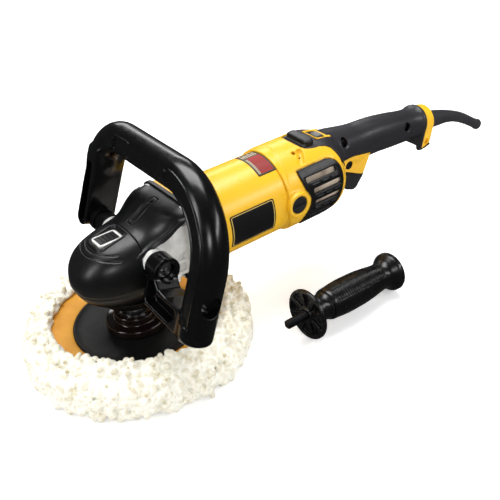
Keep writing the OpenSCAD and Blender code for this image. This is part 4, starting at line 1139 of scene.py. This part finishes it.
# ---- strain relief
def relief():
    """A tapered tube along the cord's exit, flared and hollow at its end."""
    path = [(397, 0.9, 14.6), (404, 0, 14.6), (406.5, -0.3, 14.2), (408.5, -0.6, 12.6),
            (412, -1.0, 11.6), (424, -2.6, 10.8), (438.3, -5.0, 9.7), (452, -7.8, 8.3),
            (466.7, -12.2, 7.1), (479.7, -17.8, 6.7), (492.9, -25.1, 6.3), (504, -32.2, 6.0),
            (512, -37.3, 6.1), (517.2, -40.5, 7.0)]
    stops = range(len(path))
    line = [curve(stops, [row[k] for row in path]) for k in range(3)]
    fine = np.linspace(0, len(path) - 1, 6 * (len(path) - 1) + 1)
    rings = [tuple(f(fine)[i] for f in line) for i in range(len(fine))]
    mouth = ((0.2, 6.9), (0.2, 5.9), (-2.5, 4.4), (-9, 3.9))
    verts, faces, steps = [], [], 40
    points = [np.array(q[:2]) for q in rings]
    for i in range(len(rings) + len(mouth)):
        if i < len(rings):
            q, r = points[i], rings[i][2]
            heading = points[min(i + 1, len(points) - 1)] - points[max(i - 1, 0)]
            heading = heading / np.linalg.norm(heading)
        else:
            q, r = points[-1] + heading * mouth[i - len(rings)][0], mouth[i - len(rings)][1]
        for j in range(steps):
            a = 2 * math.pi * j / steps
            verts.append((q[0] - heading[1] * r * math.sin(a), r * math.cos(a),
                          AXIS + q[1] + heading[0] * r * math.sin(a)))
    count = len(rings) + len(mouth)
    for i in range(count - 1):
        for j in range(steps):
            m = (j + 1) % steps
            faces.append((i * steps + j, i * steps + m, (i + 1) * steps + m, (i + 1) * steps + j))
    faces.append(tuple(range(steps)))
    faces.append(tuple(reversed(range((count - 1) * steps, count * steps))))
    return sharpen(new_object("cord_relief", verts, faces), 50)


place(relief(), "tool", MAT["relief"], "black_rubber", "strain_relief")


# ---- plate and label on the motor
def wrapped(name, x0, x1, a0, a1, r, corner):
    """A thin plate with round corners, bent round the motor axis; angles in degrees."""
    nx, na = 24, 28
    half_x, half_s = (x1 - x0) / 2, math.radians(a1 - a0) / 2 * r
    verts = []
    for level in (r, r - 0.5):
        for j in range(na + 1):
            sj = half_s * math.sin(math.pi * (j / na - 0.5))
            over = abs(sj) - (half_s - corner)
            pull = corner - math.sqrt(max(corner**2 - max(over, 0) ** 2, 0))
            for i in range(nx + 1):
                fx = 2 * i / nx - 1
                x = (x0 + x1) / 2 + fx * (half_x - pull)
                a = math.radians((a0 + a1) / 2) + sj / r
                verts.append((x, -level * math.cos(a), AXIS + level * math.sin(a)))
    row, size, faces = nx + 1, (nx + 1) * (na + 1), []
    for j in range(na):
        for i in range(nx):
            q = (j * row + i, j * row + i + 1, (j + 1) * row + i + 1, (j + 1) * row + i)
            faces += [q, tuple(size + k for k in reversed(q))]
    edge = ([j * row for j in range(na + 1)] + [na * row + i for i in range(1, nx + 1)]
            + [j * row + nx for j in range(na - 1, -1, -1)] + [i for i in range(nx - 1, 0, -1)])
    for k, e in enumerate(edge):
        n = edge[(k + 1) % len(edge)]
        faces.append((e, n, n + size, e + size))
    return sharpen(clean(new_object(name, verts, faces), dissolve=True), 40)


def plates():
    ink = moulded("plate_ink", (20, 19, 20), 0.34, 600, 6e-6, 0.2)
    line = moulded("plate_line", (226, 196, 110), 0.35, 600, 6e-6, 0.05)
    grey = moulded("label_grey", (70, 64, 58), 0.65, 600, 6e-6, 0.1)
    red = moulded("label_red", (150, 28, 24), 0.65, 600, 6e-6, 0.1)
    pale = moulded("label_rows", (196, 180, 152), 0.5, 600, 6e-6, 0.05)
    for side, mirror in (("left", False), ("right", True)):
        layers = (("plate", 96.8, 151.6, -25, 22.4, 44.45, 2.6, ink),
                  ("plate_border", 98.2, 150.2, -23.4, 20.9, 44.5, 1.9, line),
                  ("plate_field", 98.9, 149.5, -22.6, 20.1, 44.56, 1.6, ink))
        for name, x0, x1, a0, a1, r, corner, mat in layers:
            angles = (180 - a1, 180 - a0) if mirror else (a0, a1)
            piece = wrapped(name + "_" + side, x0, x1, *angles, r, corner)
            place(piece, "tool", mat, "black_plastic", "name_plates")
    layers = [("label", 147.6, 169.8, 55.3, 110.4, 44.3, 1.0, ink),
              ("label_field", 148.5, 168.9, 56.6, 109.1, 44.36, 0.6, grey),
              ("label_red", 152.4, 167.9, 58, 92, 44.42, 0.4, red)]
    layers += [("label_row_%d" % k, 153.6 + 2.5 * k, 154.1 + 2.5 * k, 60, 90 - 5 * (k % 3), 44.47,
                0.2, ink) for k in range(6)]
    layers += [("label_line_%d" % k, 150.2 + 2.6 * k, 151.4 + 2.6 * k, 94.5, 107 - 3 * (k % 2),
                44.42, 0.2, pale) for k in range(7)]
    layers += [("label_edge_%d" % k, 149.6 + 1.5 * k, 150.3 + 1.5 * k, 58, 90, 44.42, 0.2, pale)
               for k in range(2)]
    for name, x0, x1, a0, a1, r, corner, mat in layers:
        place(wrapped(name, x0, x1, a0, a1, r, corner), "tool", mat, "label_print", "rating_label")


plates()


# ---- loose side handle
def side_handle():
    flo, fhi = mm_box("side_handle_flange")
    glo, ghi = mm_box("side_handle_grip")
    start = (flo + fhi) / 2
    knob = np.array([ghi[0] - 5.5, (glo[1] + ghi[1]) / 2, (glo[2] + ghi[2]) / 2])
    axis = (knob - start) / np.linalg.norm(knob - start)
    start = start - axis * 2
    side = np.cross([0, 0, 1], axis)
    side /= np.linalg.norm(side)
    up = np.cross(axis, side)

    def local(p):
        rel = [p[i] - start[i] for i in range(3)]
        return [sum(rel[i] * e[i] for i in range(3)) for e in (side, up, axis)]

    radius = curve([0, 4, 14, 24, 27, 34, 46, 60, 74, 88, 100, 106, 111, 115, 118.5, 121],
                   [13.9, 14, 14.2, 14.9, 16.5, 17.3, 18.4, 18.6, 18.1, 16.8, 15.2, 14.9, 16.2,
                    19, 21.2, 21.5])

    def grip_form(p):
        a, b, t = local(p)
        r = np.hypot(a, b)
        d = sheet((r - radius(t)) * 0.93, t, 4, 125, 2.6)
        d = cut(d, meet(np.abs(t - 25.6) - 0.6, radius(25.6) - 1.3 - r), 0.4)
        # Bands of cross ribs on two sides, each in a shallow sunk frame
        turn = np.arctan2(a, b) + math.radians(32)
        arc = np.abs((turn + math.pi / 2) % math.pi - math.pi / 2) * 17.5
        panel = rect(arc, t - 67, 7.4, 36, 2)
        d = cut(d, meet(panel, radius(t) - 1.5 - r), 0.4)
        ribs = extrude(rect(arc, t - 67, 6.6, 35.2, 1), r - radius(t) + 0.95, 0.4)
        wave = 0.85 * np.cos(2 * math.pi * (t - 32) / 3.0)
        d = smin(d, meet(ribs - wave, radius(t) - 3 - r), 0.2)
        # Flat dish in the knob's end
        return cut(d, meet(r - 12, 124 - t), 0.8)

    def flange_form(p):
        a, b, t = local(p)
        r, ang = np.hypot(a, b), np.arctan2(b, a)
        d = sheet(r - 27.4, t, 0, 4.2, 1.1)
        d = smin(d, sheet(r - 8.5, t, -1.5, 4, 1.0), 1.0)
        turn = (ang + math.pi / 8) % (math.pi / 4) - math.pi / 8
        pocket = outline(r * np.cos(turn), r * np.sin(turn),
                         [(9.6, -1.2), (22.8, -6.4), (24.2, 0), (22.8, 6.4), (9.6, 1.2)])
        return cut(d, meet(pocket, t - 3.2), 0.5)

    def stud_form(p):
        a, b, t = local(p)
        r, ang = np.hypot(a, b), np.arctan2(b, a)
        thread = np.abs((t / 2 + ang / (2 * math.pi)) % 1 - 0.5) * 1.8
        wall = r - 4.95 + np.where(t < -2, thread, 0) + np.clip(-25 - t, 0, 2) * 0.9
        return meet(wall * 0.8, slab(t, -26.2, 4))

    slo, shi = mm_box("side_handle_stud")
    form("loose_grip", grip_form, glo - 1, ghi + 1, 0.5,
         "side_handle", "side_grip", "gloss_black", "side_handle_grip")
    form("loose_flange", flange_form, flo - 3, fhi + 1, 0.55,
         "side_handle", "side_grip", "gloss_black", "side_handle_flange")
    form("loose_stud", stud_form, slo - 2, (142, shi[1] + 1, shi[2] + 1), 0.4,
         "side_handle", "dark_steel", "dark_steel", "side_handle_stud")


side_handle()


# ---- the CAD nodes that stay
NODE_LOOKS = {
    "steel": ["spindle", "ring_gear", "spindle_bearing_inner", "spindle_bearing_outer",
              "spindle_lock_pin", "spindle_lock_spring", "bail_bolts",
              "armature_shaft", "pinion", "motor_bearing_inners", "front_bearing_outer",
              "rear_bearing_outer", "brush_springs", "handle_screws", "trigger_pin",
              "trigger_spring"],
    "dark_steel": ["gear_case_screws", "bail_washers"],
    "bronze": ["spindle_top_bush"],
    "black": ["spindle_lock_button", "cooling_fan", "brush_caps", "trigger", "switch_module"],
    "core": ["stator_core", "armature_core"],
    "copper": ["field_windings", "armature_windings", "commutator"],
    "brass": ["brush_holders"],
    "carbon": ["carbon_brushes"],
}
for look, names in NODE_LOOKS.items():
    for n in names:
        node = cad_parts[n]
        node.data.materials.clear()
        node.data.materials.append(MAT[look])

for n in ("brush_caps", "trigger", "spindle_lock_button", "gear_case_screws", "bail_washers",
          "bail_bolts"):
    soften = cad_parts[n].modifiers.new("soften", "BEVEL")
    soften.width, soften.segments, soften.limit_method = 0.35 * MM, 2, "ANGLE"
    soften.angle_limit = math.radians(40)
